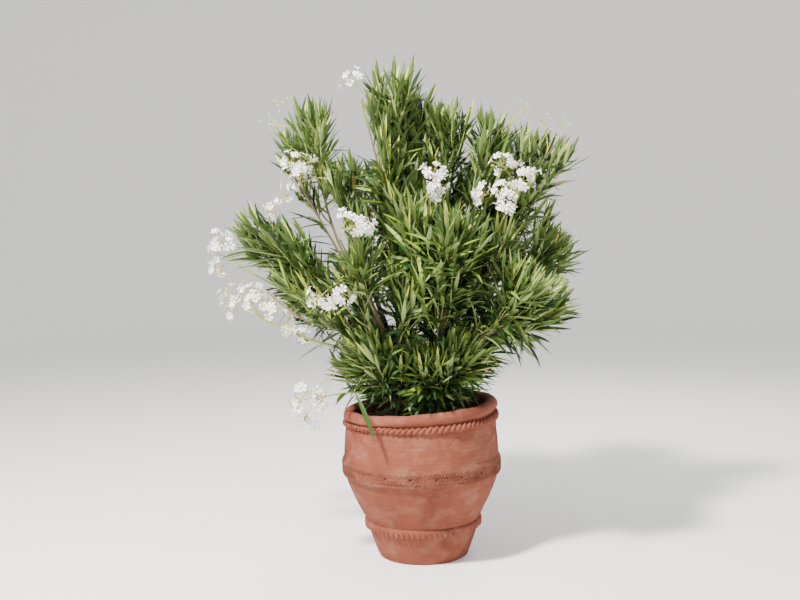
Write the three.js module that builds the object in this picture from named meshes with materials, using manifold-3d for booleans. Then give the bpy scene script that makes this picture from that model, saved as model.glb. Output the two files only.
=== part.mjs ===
// Potted oleander: a hand-made terracotta jar with a rope moulding, filled with soil,
// and a shrub of several canes with narrow leaves in whorls of three and white blossom.
// Millimetres, +Z up. The origin is the centre of the jar's flat underside, -Y is the front.
import * as THREE from "three";
import { mergeVertices } from "three/addons/utils/BufferGeometryUtils.js";
import Module from "manifold-3d";

const wasm = await Module();
wasm.setup();

// Jar: a turned body with two applied bands, a rope and a rolled rim.
const JAR_SIDES = 48; // every second corner makes a strand of the rope and a tooth of the flange
const JAR_WALL = 27;
const JAR_FLOOR = 32;
const FOOT_RADIUS = 181;
const NECK_RADIUS = 301;
const ROLL_RADIUS = 22;
const ROLL_CIRCLE = 290;
const ROLL_HEIGHT = 590;
const ROLL_ARC = [-60, 200]; // degrees round the roll, from its outer foot to its inner one
const RIM_SLOPE = 0.06; // the mouth was pressed out of level: it rises towards +X
const OUTER_SLOPE = [520, 580]; // heights between which the slope grows, on the outer wall
const INNER_SLOPE = [548, 568]; // and inside, where it starts above the soil
const ROPE_HEIGHT = 553;
const ROPE_RADIUS = 13;
const ROPE_SWELL = 2.5;
const FLANGE_BOTTOM = 133;
const FLANGE_TOP = 146;
const FLANGE_RADIUS = 236;
const TOOTH_DROP = 7;

// Soil: fills the jar up to the rope moulding, a few centimetres below the rim.
const SOIL_TOP = 545;
const GAP = 0.3; // clearance between pieces that touch
const SEAT_GAP = 0.45; // the same, measured level from a slanting wall
const LIMB_GAP = 0.36; // the same, measured from the corners of a faceted limb
const SMALLEST_DETAIL = 0.02; // edges shorter than this are left out of a fused mass
const MERGE_DISTANCE = 1e-3;

// Wood: bark radius at the foot, at the fork and at the end of each order of limb.
const CANE_RADIUS = [17, 8];
const CANE_FLARE = 0.55;
const FLARE_HEIGHT = 0.07;
const BOUGH_RADIUS = [8.5, 5.5];
const SHOOT_RADIUS = [6, 4.4];
const TWIG_RADIUS = [5, 4];
const STALK_RADIUS = 2.6;
const CANE_SIDES = 6;
const BOUGH_SIDES = 5;
const TWIG_SIDES = 3;
const CANE_STEPS = 5;
const LIMB_STEPS = 3;
const CANE_UPRIGHT = 0.18; // a cane rises straight for this share of its height
const CANE_SWING = [0.12, 0.45]; // shares of its lean and of its height where it bends outwards
const FORK_TURN = 0.6; // how far a side limb has turned away from its parent where it leaves it
const BOUGH_BEND = 0.45;
const SHOOT_BEND = 0.4;

// Leaves: narrow blades in whorls of three. They are larger than the real ones, which are
// about 150 mm by 20 mm, because there are fewer of them.
const LEAF_LENGTH = 195;
const LEAF_WIDTH = 38;
const LEAF_THICKNESS = 7;
const LEAF_WIDEST = 0.42;
const LEAF_SUNK = 3;
const LEAF_STAGGER = 11; // the leaves of a whorl stand a little above each other
const WHORL = 3;
const WHORL_SPACING = 136;
const WHORL_FIRST = 0.25;
const LEAF_ANGLE_LOW = 44;
const LEAF_ANGLE_TIP = 18;
const LEAF_SIZE = [0.82, 1.02];
const LEAF_TRIES = 8;
const LEAF_TRY_TURN = 7;
const LEAF_TRY_ANGLE = 0.9; // each new try stands closer to its twig and is shorter
const LEAF_TRY_LENGTH = 0.95;
const LEAF_CLEAR = 0.38; // share of the half width that no other leaf comes closer than
const ROOT_SHARE = 0.15; // the part of a leaf or twig next to its own limb

// Branching rule of a mass.
const GOLDEN_ANGLE = 137.5;
const TWIG_BARE = 0.45;
const TWIG_FROM = 0.12;
const TWIG_TO = 0.78;
const TWIG_ANGLE = 38;
const TWIG_REACH = 0.8;
const TWIG_REACH_VARIES = 0.1;
const TWIG_TAPER = [1.15, 0.8]; // twigs near the foot of a mass are longer than those near its tip
const TWIG_ROOT = 12;
const TWIGS_AT_LEAST = 2;
const TWIG_PER_AREA = 1 / 30000;
const SHORTENINGS = [1, 0.8, 0.62, 0.45];
const FIRST_SEED = 101; // of the first mass
const SEED_STEP = 37; // from each mass to the next

// Blossom: heads of five-petalled flowers on thin stalks.
const FLOWER_RADIUS = 36;
const FLOWER_TUBE = 20;
const BUD_RADIUS = 7;
const STALK_LENGTH = 105;
const STALK_STAGGER = 14;
const STALK_SIZE = [0.75, 1];
const HEAD_ANGLE = [33, 55];
const HEAD_CENTRE_ANGLE = 6;
const HEAD_COUNT = 4;

const CELL_MARGIN = 1.5; // half the clear space between two neighbouring masses
const LIMB_MARGIN = 1.5;
const JAR_MARGIN = 4; // clear height above the rim and the soil
const MOUTH_MARGIN = 8;
const JAR_REACH = 330; // further out than this nothing meets the jar
const SPACE_MIDDLE = 0.55; // a mass's middle, as a share of the way from its foot to its tip

// Canes: foot on the soil, and tip where the cane enters the mass of leaves that it carries.
const CANES = {
  cane_centre: { foot: [-28, 8], tip: [-60, 20, 1310] },
  cane_upright: { foot: [34, 22], tip: [95, 50, 1245] },
  cane_left: { foot: [-104, -8], tip: [-290, -15, 1215] },
  cane_right: { foot: [106, 4], tip: [335, 40, 1210] },
  cane_front_left: { foot: [-58, -92], tip: [-190, -235, 1055] },
  cane_front_right: { foot: [58, -96], tip: [110, -250, 1065] },
  cane_back_left: { foot: [-66, 96], tip: [-210, 270, 1120] },
  cane_back_right: { foot: [62, 100], tip: [215, 275, 1100] },
};

// Boughs: the cane that each leaves, how far up it, and the tip.
const BOUGHS = {
  bough_top_left: { from: "cane_centre", at: 0.84, tip: [-105, -45, 1420] },
  bough_top_back: { from: "cane_centre", at: 0.66, tip: [-25, 150, 1340] },
  bough_upper_right: { from: "cane_upright", at: 0.72, tip: [210, 0, 1310] },
  bough_centre: { from: "cane_upright", at: 0.5, tip: [40, -130, 1120] },
  bough_blossom_right: { from: "cane_right", at: 0.66, tip: [310, -95, 1185] },
  bough_right: { from: "cane_right", at: 0.52, tip: [375, 45, 1040] },
  bough_right_low: { from: "cane_right", at: 0.36, tip: [340, -50, 885] },
  bough_left: { from: "cane_left", at: 0.58, tip: [-405, -30, 1105] },
  bough_left_low: { from: "cane_left", at: 0.4, tip: [-375, -130, 945] },
  bough_blossom_left: { from: "cane_left", at: 0.48, tip: [-435, 100, 1030] },
  bough_blossom_low: { from: "cane_left", at: 0.27, tip: [-340, -50, 855] },
  bough_blossom_foot: { from: "cane_front_left", at: 0.12, tip: [-230, -95, 675] },
  bough_front_right: { from: "cane_front_right", at: 0.46, tip: [245, -225, 900] },
  bough_back_left_low: { from: "cane_back_left", at: 0.4, tip: [-315, 230, 915] },
  bough_back: { from: "cane_back_right", at: 0.6, tip: [30, 300, 1035] },
  bough_back_right_low: { from: "cane_back_right", at: 0.4, tip: [335, 230, 875] },
};

// Masses: the limb that carries each, its furthest tip, how wide it spreads, and what it ends in.
// A mass with "at" leaves the side of its cane there, and any other goes on from its limb's tip.
const MASSES = {
  leaves_top: { on: "cane_centre", tip: [-55, 10, 2000], spread: 160, ends: "leaves" },
  leaves_top_left: { on: "bough_top_left", tip: [-215, -95, 1870], spread: 130, ends: "leaves" },
  leaves_top_back: { on: "bough_top_back", tip: [15, 250, 1920], spread: 180, ends: "leaves" },
  leaves_top_right: { on: "cane_upright", tip: [135, 50, 1850], spread: 150, ends: "leaves" },
  leaves_upper_right: { on: "bough_upper_right", tip: [330, 60, 1795], spread: 160, ends: "leaves" },
  leaves_upper_left: { on: "cane_left", tip: [-430, 0, 1845], spread: 190, ends: "buds" },
  leaves_right_high: { on: "cane_right", tip: [585, -10, 1710], spread: 180, ends: "buds" },
  blossom_right: { on: "bough_blossom_right", tip: [425, -190, 1530], spread: 150, ends: "blossom" },
  leaves_right: { on: "bough_right", tip: [635, 40, 1300], spread: 165, ends: "leaves" },
  leaves_right_low: { on: "bough_right_low", tip: [615, -100, 1075], spread: 150, ends: "leaves" },
  leaves_right_foot: { on: "cane_right", at: 0.14, tip: [380, 0, 935], spread: 140, ends: "leaves" },
  leaves_left_high: { on: "cane_left", at: 0.74, tip: [-560, -110, 1690], spread: 165, ends: "blossom" },
  leaves_left: { on: "bough_left", tip: [-755, -60, 1360], spread: 170, ends: "leaves" },
  leaves_left_low: { on: "bough_left_low", tip: [-700, -170, 1165], spread: 165, ends: "leaves" },
  blossom_left: { on: "bough_blossom_left", tip: [-845, 80, 1245], spread: 130, ends: "blossom" },
  blossom_left_low: { on: "bough_blossom_low", tip: [-740, -40, 1020], spread: 135, ends: "blossom" },
  leaves_centre: { on: "bough_centre", tip: [65, -270, 1560], spread: 190, ends: "blossom" },
  leaves_front_left: { on: "cane_front_left", tip: [-335, -350, 1385], spread: 185, ends: "blossom" },
  leaves_front: { on: "cane_front_right", tip: [125, -430, 1395], spread: 185, ends: "leaves" },
  leaves_front_right: { on: "bough_front_right", tip: [435, -330, 1190], spread: 170, ends: "leaves" },
  leaves_middle: { on: "cane_centre", at: 0.3, tip: [-95, -150, 1190], spread: 190, ends: "leaves" },
  leaves_middle_left: { on: "cane_left", at: 0.14, tip: [-270, 95, 1030], spread: 160, ends: "leaves" },
  leaves_middle_right: { on: "cane_upright", at: 0.26, tip: [205, -90, 1100], spread: 190, ends: "leaves" },
  leaves_middle_front: { on: "cane_front_left", at: 0.36, tip: [-50, -350, 1115], spread: 180, ends: "leaves" },
  leaves_low_left: { on: "cane_front_left", at: 0.22, tip: [-295, -230, 890], spread: 160, ends: "leaves" },
  leaves_low_front: { on: "cane_front_right", at: 0.1, tip: [-15, -310, 855], spread: 150, ends: "leaves" },
  leaves_low_right: { on: "cane_front_right", at: 0.2, tip: [255, -275, 880], spread: 150, ends: "leaves" },
  blossom_foot: { on: "bough_blossom_foot", tip: [-485, -150, 660], spread: 95, ends: "blossom" },
  leaves_back_left: { on: "cane_back_left", tip: [-335, 420, 1665], spread: 190, ends: "leaves" },
  leaves_back_left_low: { on: "bough_back_left_low", tip: [-560, 330, 1170], spread: 165, ends: "blossom" },
  leaves_back_right: { on: "cane_back_right", tip: [375, 430, 1610], spread: 190, ends: "leaves" },
  leaves_back: { on: "bough_back", tip: [5, 530, 1460], spread: 185, ends: "blossom" },
  leaves_back_right_low: { on: "bough_back_right_low", tip: [525, 330, 1100], spread: 165, ends: "leaves" },
  leaves_low_back: { on: "cane_back_left", at: 0.16, tip: [-205, 370, 890], spread: 155, ends: "leaves" },
};

const WOOD = new THREE.MeshStandardMaterial({ color: 0x7d7358, roughness: 0.85, metalness: 0 });
const LEAF = new THREE.MeshStandardMaterial({ color: 0x4f7340, roughness: 0.55, metalness: 0 });
const BLOSSOM = new THREE.MeshStandardMaterial({ color: 0xf4f3ee, roughness: 0.6, metalness: 0 });
const TERRACOTTA = new THREE.MeshStandardMaterial({ color: 0xb0664e, roughness: 0.9, metalness: 0 });
const EARTH = new THREE.MeshStandardMaterial({ color: 0x3d2b20, roughness: 1, metalness: 0 });

// Small tools for solids

/** A seeded source of numbers from 0 to 1, the same in each run. */
function seeded(seed) {
  let state = seed;
  return () => {
    state = (state * 48271) % 2147483647;
    return state / 2147483647;
  };
}

/** Linear blend from a to b. */
const mix = (a, b, t) => a + (b - a) * t;

/** A closed geometry as a solid that can be joined and cut. */
function solidOf(geometry) {
  geometry.deleteAttribute("normal");
  geometry.deleteAttribute("uv");
  const merged = mergeVertices(geometry, MERGE_DISTANCE);
  const mesh = new wasm.Mesh({
    numProp: 3,
    vertProperties: merged.attributes.position.array,
    triVerts: new Uint32Array(merged.index.array),
  });
  return new wasm.Manifold(mesh);
}

/** The solid's largest body, without slivers, loose scraps and sealed hollows. */
function mainBody(solid) {
  const bodies = solid.simplify(SMALLEST_DETAIL).decompose();
  return bodies.reduce((best, body) => (body.volume() > best.volume() ? body : best));
}

/** A named mesh of a solid. */
function meshOf(name, solid, material) {
  const { vertProperties, triVerts } = solid.getMesh();
  const geometry = new THREE.BufferGeometry();
  geometry.setAttribute("position", new THREE.BufferAttribute(vertProperties, 3));
  geometry.setIndex(new THREE.BufferAttribute(triVerts, 1));
  geometry.computeVertexNormals();
  const mesh = new THREE.Mesh(geometry, material);
  mesh.name = name;
  return mesh;
}

/** Moves every vertex of a geometry by a function of its position. */
function bend(geometry, move) {
  const position = geometry.getAttribute("position");
  const point = new THREE.Vector3();
  for (let i = 0; i < position.count; i++) {
    move(point.fromBufferAttribute(position, i));
    position.setXYZ(i, point.x, point.y, point.z);
  }
  return geometry;
}

// Jar and soil

/** A profile of [radius, height] pairs turned round the Z axis. */
function turned(profile, sides) {
  const points = profile.map(([radius, height]) => new THREE.Vector2(radius, height));
  return new THREE.LatheGeometry(points, sides).rotateX(Math.PI / 2);
}

/** The jar's inside from the floor up to the mouth. */
const JAR_INSIDE = [
  [158, JAR_FLOOR],
  [226, 200],
  [277, 330],
  [287, 405],
  [NECK_RADIUS - JAR_WALL, 530],
  [NECK_RADIUS - JAR_WALL - 2, INNER_SLOPE[0]],
  [NECK_RADIUS - JAR_WALL - 4, 562],
];

/** The jar's outside from the foot to the neck: flange, belt and rope stand out from the wall. */
const JAR_OUTSIDE = [
  [FOOT_RADIUS, 0],
  [217, 100],
  [226, 128],
  [FLANGE_RADIUS, FLANGE_BOTTOM],
  [FLANGE_RADIUS, FLANGE_TOP],
  [230, 151],
  [254, 200],
  [284, 262],
  [308, 330],
  [318, 334],
  [321, 392],
  [314, 404],
  [312, 430],
  [307, 486],
  [NECK_RADIUS, ROPE_HEIGHT - ROPE_RADIUS],
  [NECK_RADIUS + ROPE_RADIUS * 0.85, ROPE_HEIGHT - ROPE_RADIUS * 0.6],
  [NECK_RADIUS + ROPE_RADIUS, ROPE_HEIGHT + ROPE_RADIUS * 0.3],
  [NECK_RADIUS, ROPE_HEIGHT + ROPE_RADIUS],
];

/** The rolled rim from its outer foot over the top to the inside, as an arc. */
function rolledRim() {
  const steps = 5;
  return Array.from({ length: steps + 1 }, (_, k) => {
    const angle = THREE.MathUtils.degToRad(mix(...ROLL_ARC, k / steps));
    return [ROLL_CIRCLE + ROLL_RADIUS * Math.cos(angle), ROLL_HEIGHT + ROLL_RADIUS * Math.sin(angle)];
  });
}

/** Tips the mouth out of level, more towards the top. */
function slopeRim(point) {
  const isOutside = Math.hypot(point.x, point.y) > ROLL_CIRCLE;
  const [from, to] = isOutside ? OUTER_SLOPE : INNER_SLOPE;
  point.z += RIM_SLOPE * point.x * THREE.MathUtils.clamp((point.z - from) / (to - from), 0, 1);
}

/** Presses the rope's strands and the flange's teeth into every second corner of the wall. */
function pressMouldings(point) {
  const out = Math.hypot(point.x, point.y);
  const turn = Math.atan2(point.y, point.x) / (2 * Math.PI);
  const isSecond = Math.abs(Math.round(turn * JAR_SIDES)) % 2 === 1;
  const isFlangeLip = Math.abs(point.z - FLANGE_BOTTOM) < 1 && out > FLANGE_RADIUS - 1;
  if (isFlangeLip && isSecond) point.z -= TOOTH_DROP;
  const isRope = Math.abs(point.z - ROPE_HEIGHT) < ROPE_RADIUS * 0.7 && out > NECK_RADIUS + 1;
  if (!isRope) return;
  const isUpper = point.z > ROPE_HEIGHT;
  const swell = isUpper === isSecond ? ROPE_SWELL : -ROPE_SWELL;
  point.x *= 1 + swell / out;
  point.y *= 1 + swell / out;
}

function makeJar() {
  const inside = JAR_INSIDE.slice().reverse();
  const profile = [[0, 0], ...JAR_OUTSIDE, ...rolledRim(), ...inside, [0, JAR_FLOOR]];
  return solidOf(bend(bend(turned(profile, JAR_SIDES), pressMouldings), slopeRim));
}

function makeSoil() {
  const below = JAR_INSIDE.filter(([, height]) => height < SOIL_TOP);
  const wall = below.map(([radius, height]) => [radius - SEAT_GAP, height + GAP]);
  const [lastRadius, lastHeight] = JAR_INSIDE[below.length - 1];
  const [nextRadius, nextHeight] = JAR_INSIDE[below.length];
  const share = (SOIL_TOP - lastHeight) / (nextHeight - lastHeight);
  const topRadius = mix(lastRadius, nextRadius, share) - SEAT_GAP;
  const profile = [[0, JAR_FLOOR + GAP], ...wall, [topRadius, SOIL_TOP], [0, SOIL_TOP]];
  return solidOf(turned(profile, JAR_SIDES / 2));
}

// Limbs

/** Two directions across an axis, the same for every piece that runs the same way. */
function acrossOf(along) {
  const side = new THREE.Vector3(0.31, 0.95, 0.05).cross(along).normalize();
  return [side, side.clone().cross(along)];
}

/** A limb along a curve: rings of corners that taper, flat at both ends. */
function limbGeometry(curve, radiusAt, sides, steps, ringAt = (t) => t) {
  const cylinder = new THREE.CylinderGeometry(1, 1, 1, sides, steps);
  const places = Array.from({ length: steps + 1 }, (_, k) => ringAt(k / steps));
  return bend(cylinder, (point) => {
    const u = places[Math.round((point.y + 0.5) * steps)];
    const [side, other] = acrossOf(curve.getTangentAt(u));
    const radius = radiusAt(u);
    const [x, z] = [point.x * radius, point.z * radius];
    point.copy(curve.getPointAt(u)).addScaledVector(side, x).addScaledVector(other, z);
  });
}

/** The axis of a cane: straight up out of the soil, then leaning out to its tip. */
function caneCurve({ foot, tip }) {
  const [leans, rises] = CANE_SWING;
  const start = new THREE.Vector3(...foot, SOIL_TOP + GAP);
  const end = new THREE.Vector3(...tip);
  const upright = start.clone().setZ(mix(start.z, end.z, CANE_UPRIGHT));
  const swing = start.clone().lerp(end, leans).setZ(mix(start.z, end.z, rises));
  return new THREE.CubicBezierCurve3(start, upright, swing, end);
}

/** The direction of a side limb where it leaves its parent: between the parent's and its own. */
function leavingWay(along, ahead) {
  return along.clone().lerp(ahead.clone().normalize(), FORK_TURN).normalize();
}

/** The axis of a bough: it leaves along its cane, swings out and rises to its tip. */
function boughCurve({ from, at, tip }, canes) {
  const cane = canes[from].curve;
  const start = cane.getPointAt(at);
  const end = new THREE.Vector3(...tip);
  const leaving = leavingWay(cane.getTangentAt(at), end.clone().sub(start));
  const bendPoint = start.clone().addScaledVector(leaving, start.distanceTo(end) * BOUGH_BEND);
  return new THREE.QuadraticBezierCurve3(start, bendPoint, end);
}

/** The axis of a mass's stem: it leaves its limb and bends to the mass's furthest tip. */
function shootCurve(limb, at, tip, stop) {
  const start = limb.getPointAt(at ?? 1);
  const along = limb.getTangentAt(at ?? 1);
  const axis = tip.clone().sub(start);
  const leaving = at === undefined ? along : leavingWay(along, axis);
  if (at === undefined) start.addScaledVector(along, GAP);
  const end = start.clone().addScaledVector(axis, 1 - stop / axis.length());
  const bendPoint = start.clone().addScaledVector(leaving, start.distanceTo(end) * SHOOT_BEND);
  return new THREE.QuadraticBezierCurve3(start, bendPoint, end);
}

/** A curve as straight stretches, each with the limb's radius there. */
function stretches(curve, radiusAt, count) {
  return Array.from({ length: count }, (_, k) => ({
    line: new THREE.Line3(curve.getPointAt(k / count), curve.getPointAt((k + 1) / count)),
    radius: radiusAt(k / count),
  }));
}

function taper([from, to]) {
  return (u) => mix(from, to, u);
}

function caneRadius(u) {
  const flare = 1 + CANE_FLARE * Math.max(0, 1 - u / FLARE_HEIGHT) ** 2;
  return mix(CANE_RADIUS[0], CANE_RADIUS[1], u) * flare;
}

function makeCanes() {
  const canes = {};
  for (const [name, place] of Object.entries(CANES)) {
    const curve = caneCurve(place);
    const closeAtFoot = (t) => t ** 1.5;
    const limb = (extra) => {
      const radiusAt = (u) => caneRadius(u) + extra;
      return solidOf(limbGeometry(curve, radiusAt, CANE_SIDES, CANE_STEPS, closeAtFoot));
    };
    canes[name] = { curve, solid: limb(0), grown: limb(LIMB_GAP), radiusAt: caneRadius };
  }
  return canes;
}

/** Each bough, cut to sit on its cane with a hair of clearance. */
function makeBoughs(canes) {
  const boughs = {};
  for (const [name, place] of Object.entries(BOUGHS)) {
    const curve = boughCurve(place, canes);
    const radiusAt = taper(BOUGH_RADIUS);
    const limb = solidOf(limbGeometry(curve, radiusAt, BOUGH_SIDES, LIMB_STEPS));
    boughs[name] = { curve, solid: mainBody(limb.subtract(canes[place.from].grown)), radiusAt };
  }
  return boughs;
}

// Leaves and blossom

/** Places a unit shape: its Y goes along, its Z faces the given way, as nearly as it can. */
function placed(geometry, origin, along, facing) {
  const side = new THREE.Vector3().crossVectors(along, facing).normalize();
  const front = new THREE.Vector3().crossVectors(side, along);
  return geometry.applyMatrix4(new THREE.Matrix4().makeBasis(side, along, front).setPosition(origin));
}

/** A blade from its root to its tip: flat above, with the midrib as a keel below. */
function leafGeometry({ root, along, facing, length }) {
  const halfWidth = ((LEAF_WIDTH / 2) * length) / LEAF_LENGTH;
  const blade = bend(new THREE.SphereGeometry(1, 3, 2), (point) => {
    const share = point.y > 0.5 ? 1 : point.y < -0.5 ? 0 : LEAF_WIDEST;
    const corner = Math.round(Math.atan2(point.z, point.x) / (Math.PI / 3));
    const isPole = share !== LEAF_WIDEST;
    const isKeel = Math.abs(corner) === 3;
    const across = isPole || isKeel ? 0 : -Math.sign(corner) * halfWidth;
    const down = isKeel && !isPole ? -LEAF_THICKNESS : 0;
    point.set(across, mix(-LEAF_SUNK, length, share), down);
  });
  return placed(blade, root, along, facing);
}

/**
 * A turned shape of few corners on its own stalk, whose foot is sunk in a twig.
 * Each pair in the outline is a radius and a distance along the stalk, from the foot up.
 */
function onStalk({ origin, along, facing, outline, sides }) {
  const shape = bend(new THREE.SphereGeometry(1, sides, outline.length + 1), (point) => {
    const ring = Math.round(((Math.PI - Math.acos(point.y)) / Math.PI) * (outline.length + 1));
    const [first, last] = [outline[0], outline[outline.length - 1]];
    const out = Math.hypot(point.x, point.z);
    const isPole = ring === 0 || ring > outline.length;
    const [radius, height] = isPole ? [0, ring === 0 ? first[1] - 3 : last[1] + 6] : outline[ring - 1];
    const scale = isPole ? 0 : radius / out;
    point.set(point.x * scale, height, point.z * scale);
  });
  return placed(shape, origin, along, facing);
}

/** A flower: stalk, throat and a spread of five corners, one for each petal. */
function flowerGeometry(origin, along, facing, length) {
  const throat = [STALK_RADIUS, length - FLOWER_TUBE];
  const outline = [[STALK_RADIUS, 0], throat, [FLOWER_RADIUS, length]];
  return onStalk({ origin, along, facing, outline, sides: 5 });
}

/** A closed bud: a stalk that swells to a club. */
function budGeometry(origin, along, facing, length) {
  const outline = [[STALK_RADIUS, 0], [BUD_RADIUS, length]];
  return onStalk({ origin, along, facing, outline, sides: 3 });
}

/** A direction at an angle to an axis, turned round it from the first corner of its limb. */
function leaning(axis, degreesOut, degreesRound) {
  const [side, other] = acrossOf(axis);
  const round = THREE.MathUtils.degToRad(degreesRound);
  const out = THREE.MathUtils.degToRad(degreesOut);
  return axis
    .clone()
    .multiplyScalar(Math.cos(out))
    .addScaledVector(side, Math.sin(out) * Math.sin(round))
    .addScaledVector(other, Math.sin(out) * Math.cos(round))
    .normalize();
}

/** The space that a mass keeps to: a capsule round its axis, cut off half-way to each neighbour. */
class Space {
  constructor(start, tip, spread, others) {
    const axis = tip.clone().sub(start);
    const end = tip.clone().addScaledVector(axis.clone().normalize(), -spread * 0.5);
    this.axis = new THREE.Line3(start, end);
    this.tip = tip;
    this.axisDirection = axis.normalize();
    this.spread = spread;
    this.middle = Space.middleOf(start, tip);
    this.planes = others.map((other) => {
      const normal = other.clone().sub(this.middle).normalize();
      return new THREE.Plane().setFromNormalAndCoplanarPoint(normal, this.middle.clone().lerp(other, 0.5));
    });
  }

  static middleOf(start, tip) {
    return start.clone().lerp(tip, SPACE_MIDDLE);
  }

  holds(point) {
    const nearest = this.axis.closestPointToPoint(point, true, new THREE.Vector3());
    if (nearest.distanceTo(point) > this.spread) return false;
    const beyondTip = point.clone().sub(this.tip).dot(this.axisDirection);
    if (beyondTip > 0) return false;
    return this.planes.every((plane) => plane.distanceToPoint(point) < -CELL_MARGIN);
  }
}

/** True outside the jar's wall and above its soil. */
function clearsJar(point) {
  const out = Math.hypot(point.x, point.y);
  const rimTop = ROLL_HEIGHT + ROLL_RADIUS + RIM_SLOPE * point.x;
  if (point.z > rimTop + JAR_MARGIN) return true;
  if (out < ROLL_CIRCLE - ROLL_RADIUS - MOUTH_MARGIN) return point.z > SOIL_TOP + JAR_MARGIN;
  return out > JAR_REACH;
}

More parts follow.
